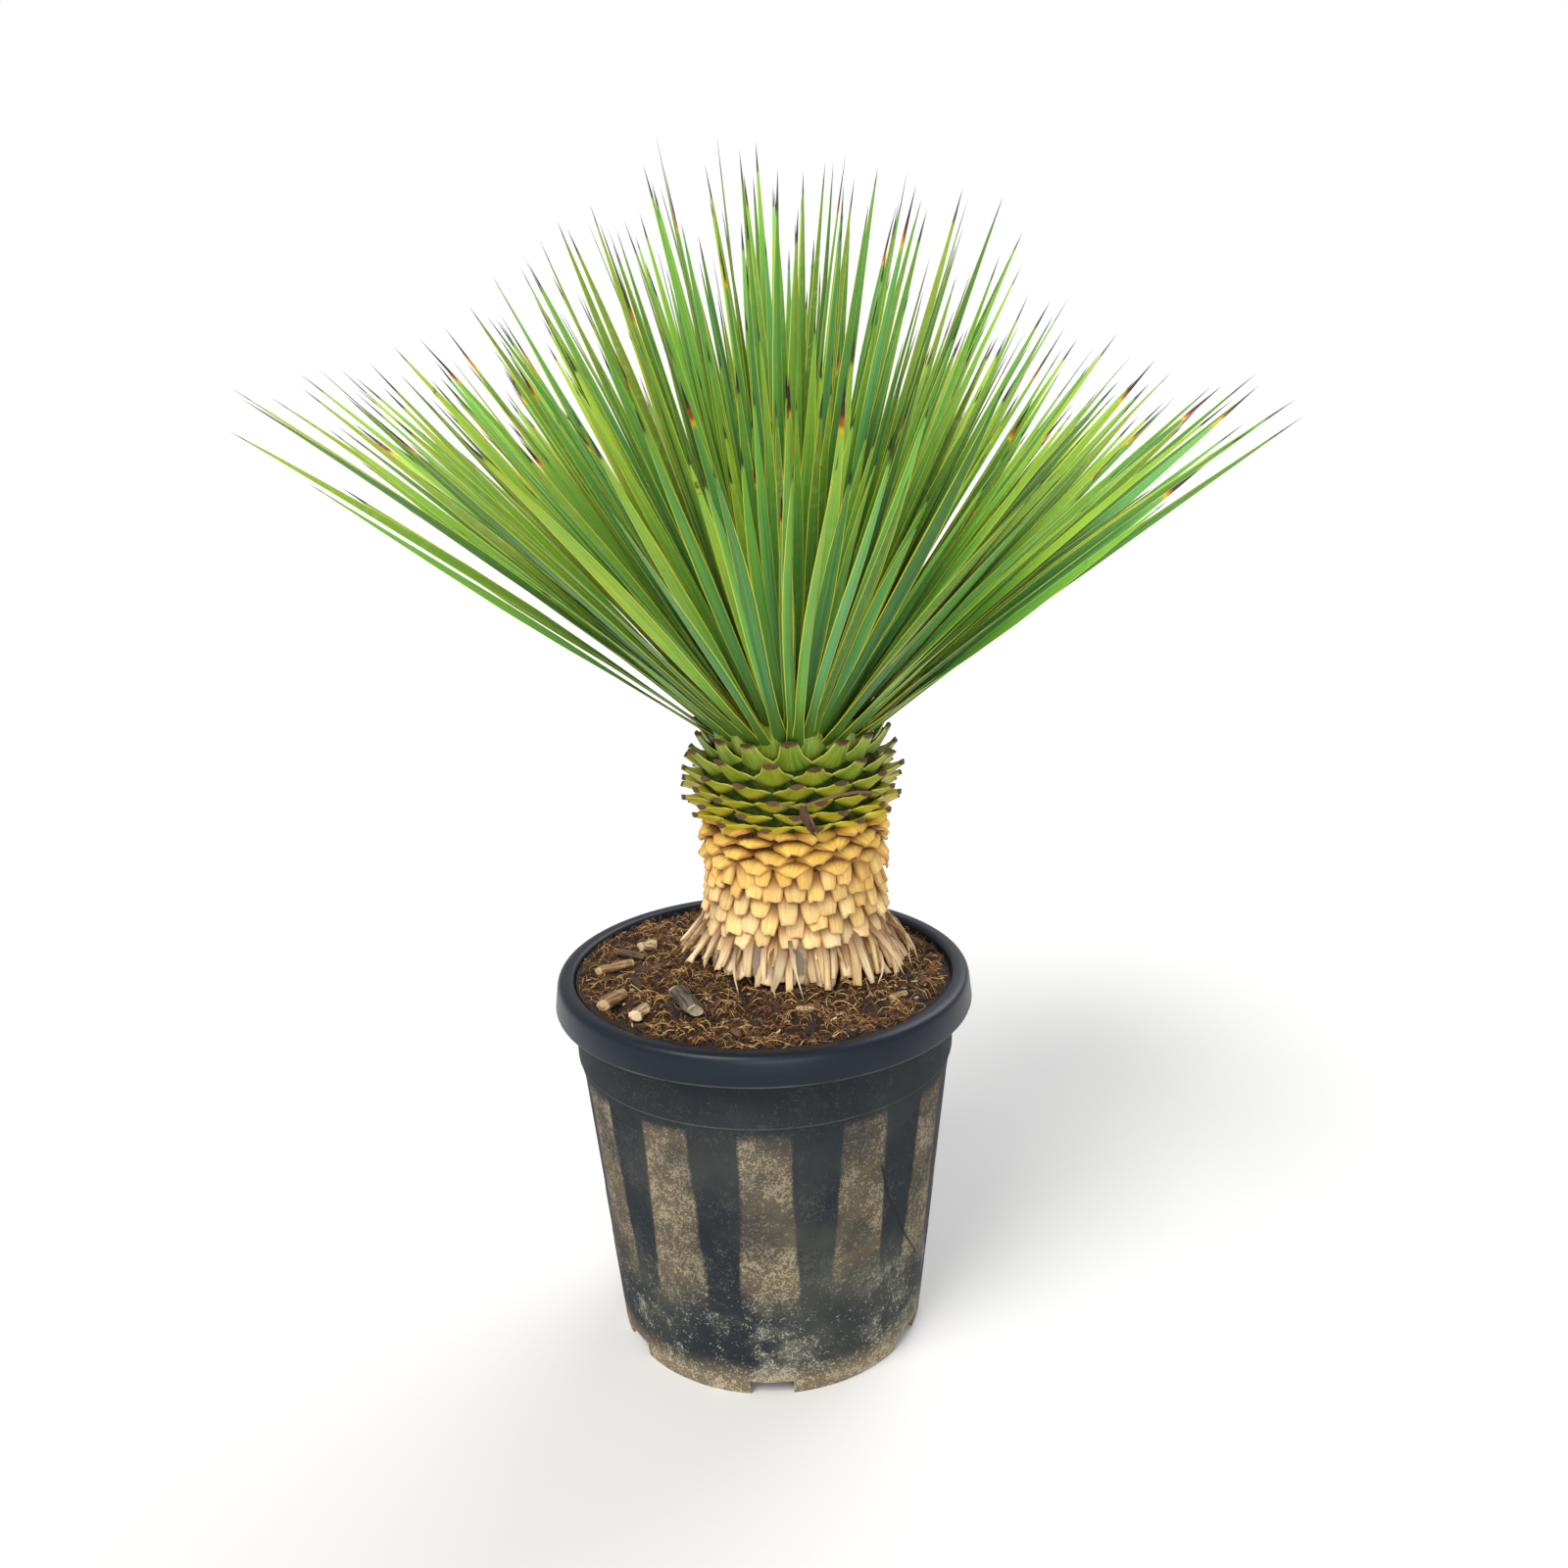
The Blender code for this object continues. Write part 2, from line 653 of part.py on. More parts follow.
def leaf_reach(elevation, angle):
    """Return a leaf's length from its seat: long when low, and longest to the left."""
    left = max(0.0, -math.cos(angle))
    spread = 1.0 + (LEFT_LEAF_GAIN * left - LOW_LEAF_TRIM * math.sin(angle) ** 2) * math.cos(elevation)
    return spread * along(
        (
            (math.radians(35.0), LOW_LEAF_REACH), (math.radians(42.0), 0.382), (math.radians(48.0), 0.345),
            (math.radians(60.0), 0.328), (math.radians(70.0), 0.370), (math.radians(90.0), TOP_LEAF_REACH),
        ),
        elevation,
    )


def leaf_stations():
    """Return a leaf's stations as (share of the length, width, thickness, share of the roll)."""
    return (
        (-0.02, LEAF_NECK_WIDTH * 0.6, LEAF_THICKNESS * 0.6, 0.0),
        (0.17, LEAF_NECK_WIDTH, LEAF_THICKNESS, 0.0),
        (0.52, LEAF_WIDTH, LEAF_THICKNESS, 0.9),
        (0.84, LEAF_WIDTH * 0.48, LEAF_THICKNESS * 0.7, 1.0),
    )


def leaf_rings(index, draw):
    """Return the sections of one leaf, root to tip, seated by the golden angle round the crown."""
    share = (index + 0.5) / LEAF_COUNT
    angle = LEAF_PHASE + index * GOLDEN_ANGLE + draw.uniform(-0.05, 0.05)
    start = math.asin(share)
    span = math.pi * 0.5 - LOWEST_ELEVATION
    elevation = LOWEST_ELEVATION + span * (start / (math.pi * 0.5)) ** 0.94 + draw.uniform(-0.035, 0.035)
    out = around(angle, 1.0, 0.0)
    side = Vector((-math.sin(angle), math.cos(angle), 0.0))
    run = out * math.cos(elevation) + Vector((0.0, 0.0, math.sin(elevation)))
    up = run.cross(side)
    up = up if up.dot(out) < 0.0 else -up
    seat = around(angle, CROWN_RADIUS * math.cos(start), CROWN_BASE + SEAT_RISE, TRUNK_AXIS)
    seat.z += (CROWN_HEIGHT - SEAT_RISE) * math.sin(start)
    reach = leaf_reach(elevation, angle) * draw.uniform(0.92, 1.04)
    arch = draw.uniform(-0.006, 0.018) * reach
    roll = -LEAF_ROLL * math.cos(angle) * draw.uniform(0.6, 1.1) + draw.uniform(-0.3, 0.3)
    rings = []
    for position, width, thickness, turned_share in leaf_stations():
        bow = up * (arch * 4.0 * max(0.0, position) * (1.0 - position))
        turn = roll * turned_share
        across = side * math.cos(turn) - up * math.sin(turn)
        face = up * math.cos(turn) + side * math.sin(turn)
        rings.append(diamond_ring(seat + run * (position * reach) + bow, across, face, width, thickness))
    rings.append((seat + run * reach,))
    return rings


def make_crown(parts):
    """Make the head of leaves on its small core, the trunk's growing tip."""
    draw = random.Random(SEED + 2)
    steps = 5
    profile = []
    for step in range(steps + 1):
        angle = math.pi * 0.5 * (1.0 - step / steps)
        profile.append((CROWN_RADIUS * math.cos(angle), CROWN_BASE + CROWN_HEIGHT * math.sin(angle)))
    profile[0] = (0.0, profile[0][1])
    profile.append((0.0, CROWN_BASE))
    crown = turned("leaf_crown", profile, CROWN_SIDES, parts)
    shift_mesh(crown.data, TRUNK_X, TRUNK_Y)
    repeats = new_collection("leaf_repeats")
    for index in range(LEAF_COUNT):
        bar_through(f"leaf_{index}", leaf_rings(index, draw), repeats)
    fuse(crown, repeats)
    finish_node(crown, "leaf_green", (0.16, 0.32, 0.08), 0.5)
    return crown


def make_chip(number, seat, surface, parts):
    """Make one wood chip, a tapered bar with seven sides that lies on the soil's surface."""
    x, y, length, width, height, turn = seat
    draw = random.Random(SEED + 10 + number)
    bm = bmesh.new()
    bmesh.ops.create_cone(
        bm, cap_ends=True, segments=7, radius1=0.5, radius2=0.5 * draw.uniform(0.65, 0.9), depth=1.0
    )
    geometry = bm.verts[:] + bm.edges[:] + bm.faces[:]
    bmesh.ops.bisect_plane(bm, geom=geometry, plane_co=(0.0, 0.0, 0.05), plane_no=(0.1, 0.1, 1.0))
    for vertex in bm.verts:
        bow = 0.12 * (1.0 - 4.0 * vertex.co.z * vertex.co.z)
        vertex.co = Vector((vertex.co.z * length, (vertex.co.x + bow) * width, vertex.co.y * height))
    floor = min(vertex.co.z for vertex in bm.verts)
    for vertex in bm.verts:
        if vertex.co.z < floor + height * 0.22:
            vertex.co.z = floor + height * 0.08
    face_outward(bm)
    low = min(vertex.co.z for vertex in bm.verts)
    chip = object_from_bmesh(f"wood_chip_{number + 1}", bm, parts)
    chip.location = (x, y, top_under(surface, seat) + GAP - low)
    chip.rotation_euler = (0.0, 0.0, turn)
    finish_node(chip, f"chip_wood_{number + 1}", (0.42, 0.30, 0.18), 0.85)
    return chip


def main():
    """Build every part of the potted yucca."""
    clear_scene()
    parts = new_collection("potted_yucca")
    cutters = new_collection("cutters")
    make_pot(parts, cutters)
    soil = make_soil(parts, cutters)
    make_dry_trunk(parts)
    make_green_trunk(parts)
    make_crown(parts)
    surface = surface_of(soil)
    for number, seat in enumerate(chip_seats()):
        make_chip(number, seat, surface, parts)


main()
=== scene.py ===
"""The dressed potted yucca: fine leaves, cut leaf bases, dry strips, coir soil and a dusty pot.

Metres, +Z up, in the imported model's frame. -Y is the front.
"""

import logging
import math
import random
from collections.abc import Callable, Iterator, Sequence
from contextlib import contextmanager
from dataclasses import dataclass
from enum import Enum

import bmesh
import bpy
import numpy as np
from mathutils import Matrix, Vector, noise


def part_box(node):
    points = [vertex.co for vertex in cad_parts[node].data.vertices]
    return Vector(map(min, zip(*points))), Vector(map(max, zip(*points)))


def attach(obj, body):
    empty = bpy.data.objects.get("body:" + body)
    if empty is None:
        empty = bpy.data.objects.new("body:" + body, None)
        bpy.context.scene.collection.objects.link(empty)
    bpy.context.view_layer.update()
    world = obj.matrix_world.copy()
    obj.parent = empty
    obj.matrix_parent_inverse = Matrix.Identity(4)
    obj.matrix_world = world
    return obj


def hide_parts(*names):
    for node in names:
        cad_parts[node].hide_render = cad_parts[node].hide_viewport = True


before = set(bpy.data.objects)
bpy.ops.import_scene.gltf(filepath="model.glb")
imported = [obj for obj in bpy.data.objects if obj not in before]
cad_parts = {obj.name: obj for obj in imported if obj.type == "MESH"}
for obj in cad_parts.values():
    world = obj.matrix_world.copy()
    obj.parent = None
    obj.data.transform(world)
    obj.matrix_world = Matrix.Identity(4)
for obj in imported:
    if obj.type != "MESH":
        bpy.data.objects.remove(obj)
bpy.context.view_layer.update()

LOG = logging.getLogger("yucca")
Array = np.ndarray
Colour = tuple[float, float, float]
Section = Sequence[tuple[float, float]]
Socket = bpy.types.NodeSocket
Input = Socket | float | Sequence[float] | None

SEED = 232
TRUNK_X, TRUNK_Y = 0.0280, 0.0150
GOLDEN_ANGLE = math.pi * (3.0 - math.sqrt(5.0))
DRY_TOP = 0.4500
GREEN_TOP = 0.5080
GAP = 0.0003


class Pick(Enum):
    """The kinds of mesh element that a selection is made of."""

    VERTS = "VERT"
    EDGES = "EDGE"
    FACES = "FACE"


class End(Enum):
    """How a bar's far end is finished."""

    POINTED = "pointed"
    CUT = "cut"


# Modelling moves


def only(obj: bpy.types.Object) -> None:
    """Make one object the active and only selected one."""
    bpy.ops.object.select_all(action="DESELECT")
    obj.select_set(True)
    bpy.context.view_layer.objects.active = obj


@contextmanager
def edit(obj: bpy.types.Object) -> Iterator[None]:
    """Work on an object in edit mode, starting with nothing selected.

    Args:
        obj: The mesh object to work on.
    """
    only(obj)
    bpy.ops.object.mode_set(mode="EDIT")
    bpy.ops.mesh.select_all(action="DESELECT")
    yield
    bpy.ops.object.mode_set(mode="OBJECT")


def pick(obj: bpy.types.Object, kind: Pick, test: Callable[[Vector], bool]) -> None:
    """Select the elements of a mesh in edit mode whose places pass a test.

    Args:
        obj: The object in edit mode.
        kind: Which kind of element is selected.
        test: Says of a place whether the element there is wanted.
    """
    bpy.ops.mesh.select_mode(type=kind.value)
    bpy.ops.mesh.select_all(action="DESELECT")
    bm = bmesh.from_edit_mesh(obj.data)
    if kind is Pick.VERTS:
        for vertex in bm.verts:
            vertex.select_set(test(vertex.co))
    elif kind is Pick.EDGES:
        for edge in bm.edges:
            edge.select_set(test((edge.verts[0].co + edge.verts[1].co) * 0.5))
    else:
        for face in bm.faces:
            face.select_set(test(face.calc_center_median()))
    bm.select_flush_mode()
    bmesh.update_edit_mesh(obj.data)


def apply_all(obj: bpy.types.Object) -> None:
    """Apply every modifier of an object, in order."""
    only(obj)
    for modifier in list(obj.modifiers):
        bpy.ops.object.modifier_apply(modifier=modifier.name)


def lathe(name: str, section: Section, segments: int) -> bpy.types.Object:
    """Model a closed round body about Z: a circle, extruded and resized from point to point.

    Args:
        name: The new object's name.
        section: The (radius, height) points, from one pole to the other.
        segments: The number of sides.

    Returns:
        The new object, with outward faces.
    """
    bpy.ops.object.select_all(action="DESELECT")
    radius, height = section[0]
    bpy.ops.mesh.primitive_circle_add(vertices=segments, radius=radius, fill_type="TRIFAN")
    obj = bpy.context.active_object
    obj.name = name
    obj.data.name = name
    with edit(obj):
        bpy.ops.mesh.select_all(action="SELECT")
        bpy.ops.transform.translate(value=(0.0, 0.0, height))
        pick(obj, Pick.VERTS, lambda place: math.hypot(place.x, place.y) > radius * 0.5)
        for (near, low), (far, high) in zip(section, section[1:]):
            bpy.ops.mesh.extrude_region_move(TRANSFORM_OT_translate={"value": (0.0, 0.0, high - low)})
            grow = far / near
            bpy.ops.transform.resize(value=(grow, grow, 1.0), center_override=(0.0, 0.0, high))
        bpy.ops.mesh.extrude_region_move(TRANSFORM_OT_translate={"value": (0.0, 0.0, 0.0)})
        bpy.ops.mesh.merge(type="CENTER")
        bpy.ops.mesh.select_all(action="SELECT")
        bpy.ops.mesh.normals_make_consistent(inside=False)
    return obj


def shift(obj: bpy.types.Object, offset: Sequence[float]) -> None:
    """Move an object's mesh in edit mode, so that the object stays at the origin."""
    with edit(obj):
        bpy.ops.mesh.select_all(action="SELECT")
        bpy.ops.transform.translate(value=tuple(offset))


def smooth(obj: bpy.types.Object, degrees: float) -> None:
    """Shade an object smooth, with edges sharper than an angle left crisp."""
    only(obj)
    bpy.ops.object.shade_smooth_by_angle(angle=math.radians(degrees))


# Bars laid along paths: leaves, stubs, tongues, strips and fibres


@dataclass
class Ribbon:
    """A path with its sections: where each ring of a bar is laid."""

    centre: Array
    across: Array
    face: Array
    half_width: Array
    thickness: Array
    cup: Array

    @classmethod
    def along(
        cls, centre: Array, hint: Array, half_width: Array, thickness: Array,
        cup: Array | float = 0.0, twist: Array | float = 0.0,
    ) -> "Ribbon":
        """Lay sections square to a path.

        Args:
            centre: The path's points.
            hint: The direction that the width keeps to, as near as the path lets it.
            half_width: Half the width at each point.
            thickness: The thickness at each point.
            cup: How far the edges stand above the middle.
            twist: A turn about the path at each point, in radians.

        Returns:
            The path with its sections.
        """
        tangent = np.gradient(centre, axis=0)
        tangent /= np.linalg.norm(tangent, axis=1)[:, None]
        side = hint - tangent * (tangent @ hint)[:, None]
        side /= np.linalg.norm(side, axis=1)[:, None]
        face = np.cross(tangent, side)
        turn = np.broadcast_to(np.asarray(twist, float), (len(centre),))[:, None]
        across = side * np.cos(turn) + face * np.sin(turn)
        face = face * np.cos(turn) - side * np.sin(turn)
        return cls(centre, across, face, half_width, thickness, np.full(len(centre), cup))


@dataclass
class Stamp:
    """A bar that is modelled once: its section, each corner's ring and place round it, and the faces."""

    section: Array
    ring: Array
    side: Array
    inward: Array
    faces: list[tuple[int, ...]]
    stations: Array

    @classmethod
    def model(cls, section: Array, stations: Sequence[float], end: End) -> "Stamp":
        """Model a bar from a cylinder that is cut at each station, and read it.

        Args:
            section: The section's outline, across and through, one row for each side.
            stations: Where its rings are, from 0 at the root to 1 at the end.
            end: How its far end is finished.

        Returns:
            The bar, ready to be laid along paths.
        """
        sides = len(section)
        bpy.ops.object.select_all(action="DESELECT")
        bpy.ops.mesh.primitive_cylinder_add(vertices=sides, radius=1.0, depth=1.0, location=(0.0, 0.0, 0.5))
        bpy.ops.object.transform_apply(location=True, rotation=False, scale=False)
        obj = bpy.context.active_object
        with edit(obj):
            for level in stations[1:-1]:
                bpy.ops.mesh.select_all(action="SELECT")
                bpy.ops.mesh.bisect(plane_co=(0.0, 0.0, level), plane_no=(0.0, 0.0, 1.0))
            if end is End.POINTED:
                pick(obj, Pick.VERTS, lambda place: place.z > 0.9999)
                bpy.ops.mesh.merge(type="CENTER")
            else:
                pick(obj, Pick.FACES, lambda place: place.z > 0.9999)
                bpy.ops.mesh.inset(thickness=0.35)
        places = np.array([vertex.co for vertex in obj.data.vertices])
        levels = np.array(stations)
        ring = np.abs(places[:, 2:3] - levels[None, :]).argmin(axis=1)
        turn = (np.arctan2(places[:, 1], places[:, 0]) - math.pi * 0.5) % math.tau
        side = np.round(turn / math.tau * sides).astype(int) % sides
        inward = np.minimum(1.0, np.hypot(places[:, 0], places[:, 1]))
        inward[inward > 0.95] = 1.0
        inward[inward < 0.05] = 0.0
        faces = [tuple(face.vertices) for face in obj.data.polygons]
        bpy.data.meshes.remove(obj.data)
        return cls(section, ring, side, inward, faces, levels)

    @property
    def wide(self) -> Array:
        """Where each corner's side lies across the section."""
        return self.section[self.side, 0]

    @property
    def last(self) -> Array:
        """Which corners are on the last ring."""
        return self.ring == len(self.stations) - 1

    def ripple(self, pitch: float, row: float, index: float) -> Array:
        """Return a smooth noise across the section, for a waved or frayed end."""
        return np.array([noise.noise(Vector((wide * pitch, row, index))) for wide in self.wide])

    def lay(self, path: Ribbon) -> Array:
        """Return the bar's corners when it is laid along a path."""
        wide = self.wide * self.inward
        deep = self.section[self.side, 1] * self.inward
        ring = self.ring
        rise = deep * path.thickness[ring] + path.cup[ring] * wide * wide
        return (
            path.centre[ring]
            + path.across[ring] * (wide * path.half_width[ring])[:, None]
            + path.face[ring] * rise[:, None]
        )

    def chart(self) -> Array:
        """Return the corners' UV: across the section, and along the bar."""
        return np.stack([0.5 + 0.5 * self.wide * self.inward, self.stations[self.ring]], axis=1)


class Batch:
    """Copies of bars gathered into one mesh, each with its own corners and its own values."""

    def __init__(self, *values: str) -> None:
        """Start an empty batch.

        Args:
            values: The names of the values that every copy carries for its material.
        """
        self.points: list[Array] = []
        self.charts: list[Array] = []
        self.faces: list[tuple[int, ...]] = []
        self.values: dict[str, list[Array]] = {name: [] for name in values}
        self.count = 0

    def add(self, stamp: Stamp, points: Array, **values: float) -> None:
        """Add one copy.

        Args:
            stamp: The shape that is copied.
            points: The copy's corners.
            values: The copy's values for its material.
        """
        first = self.count
        self.points.append(points)
        self.charts.append(stamp.chart())
        self.faces.extend(tuple(first + corner for corner in face) for face in stamp.faces)
        for name, store in self.values.items():
            store.append(np.full(len(points), values[name]))
        self.count += len(points)

    def make(self, name: str, crease: float = 60.0) -> bpy.types.Object:
        """Write the batch into a new object.

        Args:
            name: The object's name.
            crease: The angle in degrees above which an edge stays crisp.

        Returns:
            The new object.
        """
        mesh = bpy.data.meshes.new(name)
        mesh.from_pydata(np.concatenate(self.points).tolist(), [], self.faces)
        chart = np.concatenate(self.charts)
        corners = np.empty(len(mesh.loops), int)
        mesh.loops.foreach_get("vertex_index", corners)
        mesh.uv_layers.new(name="UVMap").data.foreach_set("uv", chart[corners].astype(np.float32).ravel())
        for value, store in self.values.items():
            layer = mesh.attributes.new(value, "FLOAT", "POINT")
            layer.data.foreach_set("value", np.concatenate(store).astype(np.float32))
        mesh.shade_smooth()
        mesh.set_sharp_from_angle(angle=math.radians(crease))
        obj = bpy.data.objects.new(name, mesh)
        bpy.context.scene.collection.objects.link(obj)
        return obj


def flat_section(sides: int) -> Array:
    """Return a thin oblong section with its corners on two flat faces."""
    half = sides // 2
    top = [(math.cos(math.pi * (step + 0.5) / half) * 1.0, 0.5) for step in range(half)]
    grow = 1.0 / top[0][0]
    top = [(wide * grow, deep) for wide, deep in top]
    return np.array(top + [(-wide, -deep) for wide, deep in top])


def round_section(sides: int) -> Array:
    """Return a round section."""
    turns = math.tau * np.arange(sides) / sides
    return np.stack([np.cos(turns), np.sin(turns)], axis=1)


def bend(start: Array, middle: Array, end: Array, stations: Array) -> Array:
    """Return points on the curve that leaves a start, leans on a middle and reaches an end."""
    share = stations[:, None]
    return start * (1.0 - share) ** 2 + middle * (2.0 * share * (1.0 - share)) + end * share**2


def along(points: Section, value: float) -> float:
    """Read a piecewise straight curve of (input, output) points."""
    for (start, first), (end, last) in zip(points, points[1:]):
        if value <= end:
            return first + (last - first) * max(0.0, (value - start) / (end - start))
    return points[-1][1]


def around(angle: float, radius: float, height: float) -> Array:
    """Return a point at an angle and a radius about the trunk's axis."""
    return np.array([TRUNK_X + radius * math.cos(angle), TRUNK_Y + radius * math.sin(angle), height])


def outward(angle: float) -> Array:
    """Return the level direction at an angle."""
    return np.array([math.cos(angle), math.sin(angle), 0.0])


def sideways(angle: float) -> Array:
    """Return the level direction square to an angle."""
    return np.array([-math.sin(angle), math.cos(angle), 0.0])


UPWARD = np.array([0.0, 0.0, 1.0])


# Node work


class Graph:
    """Short ways to add and link nodes in one tree."""

    def __init__(self, tree: bpy.types.NodeTree) -> None:
        """Work on a tree."""
        self.tree = tree

    def node(self, kind: str, **settings: object) -> bpy.types.Node:
        """Add a node with some settings."""
        node = self.tree.nodes.new(kind)
        for name, value in settings.items():
            setattr(node, name, value)
        return node

    def put(self, socket: Socket, value: Input) -> None:
        """Link a socket, or set its value."""
        if isinstance(value, bpy.types.NodeSocket):
            self.tree.links.new(value, socket)
        elif value is not None:
            size = getattr(socket.default_value, "__len__", lambda: 0)()
            socket.default_value = (*value, 1.0) if size == 4 and len(value) == 3 else value

    def math(self, work: str, first: Input, second: Input = None, third: Input = None) -> Socket:
        """Add a Math node."""
        node = self.node("ShaderNodeMath", operation=work)
        for socket, value in zip(node.inputs, (first, second, third)):
            self.put(socket, value)
        return node.outputs[0]

    def times(self, first: Input, second: Input) -> Socket:
        """Return the product of two values."""
        return self.math("MULTIPLY", first, second)

    def plus(self, first: Input, second: Input) -> Socket:
        """Return the sum of two values."""
        return self.math("ADD", first, second)

    def less(self, first: Input, second: Input) -> Socket:
        """Return the first value less the second."""
        return self.math("SUBTRACT", first, second)

    def step(self, value: Input, low: Input, high: Input) -> Socket:
        """Return a smooth step of a value from 0 at low to 1 at high."""
        node = self.node("ShaderNodeMapRange", interpolation_type="SMOOTHSTEP")
        self.put(node.inputs["Value"], value)
        self.put(node.inputs["From Min"], low)
        self.put(node.inputs["From Max"], high)
        return node.outputs["Result"]

    def mix(self, share: Input, first: Input, second: Input, blend: str = "MIX") -> Socket:
        """Mix two colours."""
        node = self.node("ShaderNodeMix", data_type="RGBA", blend_type=blend, clamp_factor=True)
        self.put(node.inputs[0], share)
        self.put(node.inputs[6], first)
        self.put(node.inputs[7], second)
        return node.outputs[2]

    def coat(self, body: Input, colour: Input, mask: Input, share: Input = None) -> Socket:
        """Lay a colour over a body where a mask says, at a share of its strength."""
        return self.mix(mask if share is None else self.times(mask, share), body, colour)

    def ramp(self, value: Input, stops: Sequence[tuple[float, Colour]]) -> Socket:
        """Colour a value by a ramp."""
        node = self.node("ShaderNodeValToRGB")
        self.put(node.inputs[0], value)
        elements = node.color_ramp.elements
        for index, (place, colour) in enumerate(stops):
            element = elements[index] if index < 2 else elements.new(place)
            element.position = place
            element.color = (*colour, 1.0)
        return node.outputs[0]

    def noise(self, vector: Input, scale: Input, detail: float = 3.0, rough: float = 0.55) -> Socket:
        """Return a noise value."""
        node = self.node("ShaderNodeTexNoise")
        self.put(node.inputs["Vector"], vector)
        self.put(node.inputs["Scale"], scale)
        self.put(node.inputs["Detail"], detail)
        self.put(node.inputs["Roughness"], rough)
        return node.outputs[0]

    def drift(self, vector: Input, scale: float, amount: Input, detail: float = 3.0) -> Socket:
        """Return a noise about 0 of a given amount."""
        return self.times(self.less(self.noise(vector, scale, detail), 0.5), amount)

    def from_middle(self, wide: Socket) -> Socket:
        """Return how far a UV place is from the bar's middle line, from 0 to 1 at its edge."""
        return self.times(self.math("ABSOLUTE", self.less(wide, 0.5)), 2.0)

    def value(self, name: str) -> Socket:
        """Return a value that the mesh carries."""
        return self.node("ShaderNodeAttribute", attribute_name=name).outputs["Fac"]

    def parts(self, vector: Socket) -> tuple[Socket, Socket, Socket]:
        """Return a vector's three numbers."""
        node = self.node("ShaderNodeSeparateXYZ")
        self.put(node.inputs[0], vector)
        return node.outputs[0], node.outputs[1], node.outputs[2]

    def join(self, first: Input, second: Input, third: Input) -> Socket:
        """Return a vector of three numbers."""
        node = self.node("ShaderNodeCombineXYZ")
        for socket, value in zip(node.inputs, (first, second, third)):
            self.put(socket, value)
        return node.outputs[0]

    def coordinates(self, kind: str = "Object") -> Socket:
        """Return the object's own coordinates, or its UV."""
        return self.node("ShaderNodeTexCoord").outputs[kind]

    def bump(self, height: Socket, strength: float, distance: float) -> Socket:
        """Return a normal that a height has shaped."""
        node = self.node("ShaderNodeBump")
        self.put(node.inputs["Strength"], strength)
        self.put(node.inputs["Distance"], distance)
        self.put(node.inputs["Height"], height)
        return node.outputs[0]

    def use(self, group: bpy.types.NodeTree, **inputs: Input) -> dict[str, Socket]:
        """Place a shared effect and return its outputs by name."""
        node = self.node("ShaderNodeGroup", node_tree=group)
        for name, value in inputs.items():
            self.put(node.inputs[name.replace("_", " ").title()], value)
        return {socket.name: socket for socket in node.outputs}


def new_group(name: str, inputs: dict[str, str], outputs: dict[str, str]) -> tuple[bpy.types.NodeTree, Graph]:
    """Start a shared effect.

    Args:
        name: The group's name.
        inputs: The socket type of each input.
        outputs: The socket type of each output.

    Returns:
        The group and a graph on it.
    """
    group = bpy.data.node_groups.new(name, "ShaderNodeTree")
    for direction, sockets in (("INPUT", inputs), ("OUTPUT", outputs)):
        for socket, kind in sockets.items():
            group.interface.new_socket(name=socket, in_out=direction, socket_type="NodeSocket" + kind)
    return group, Graph(group)


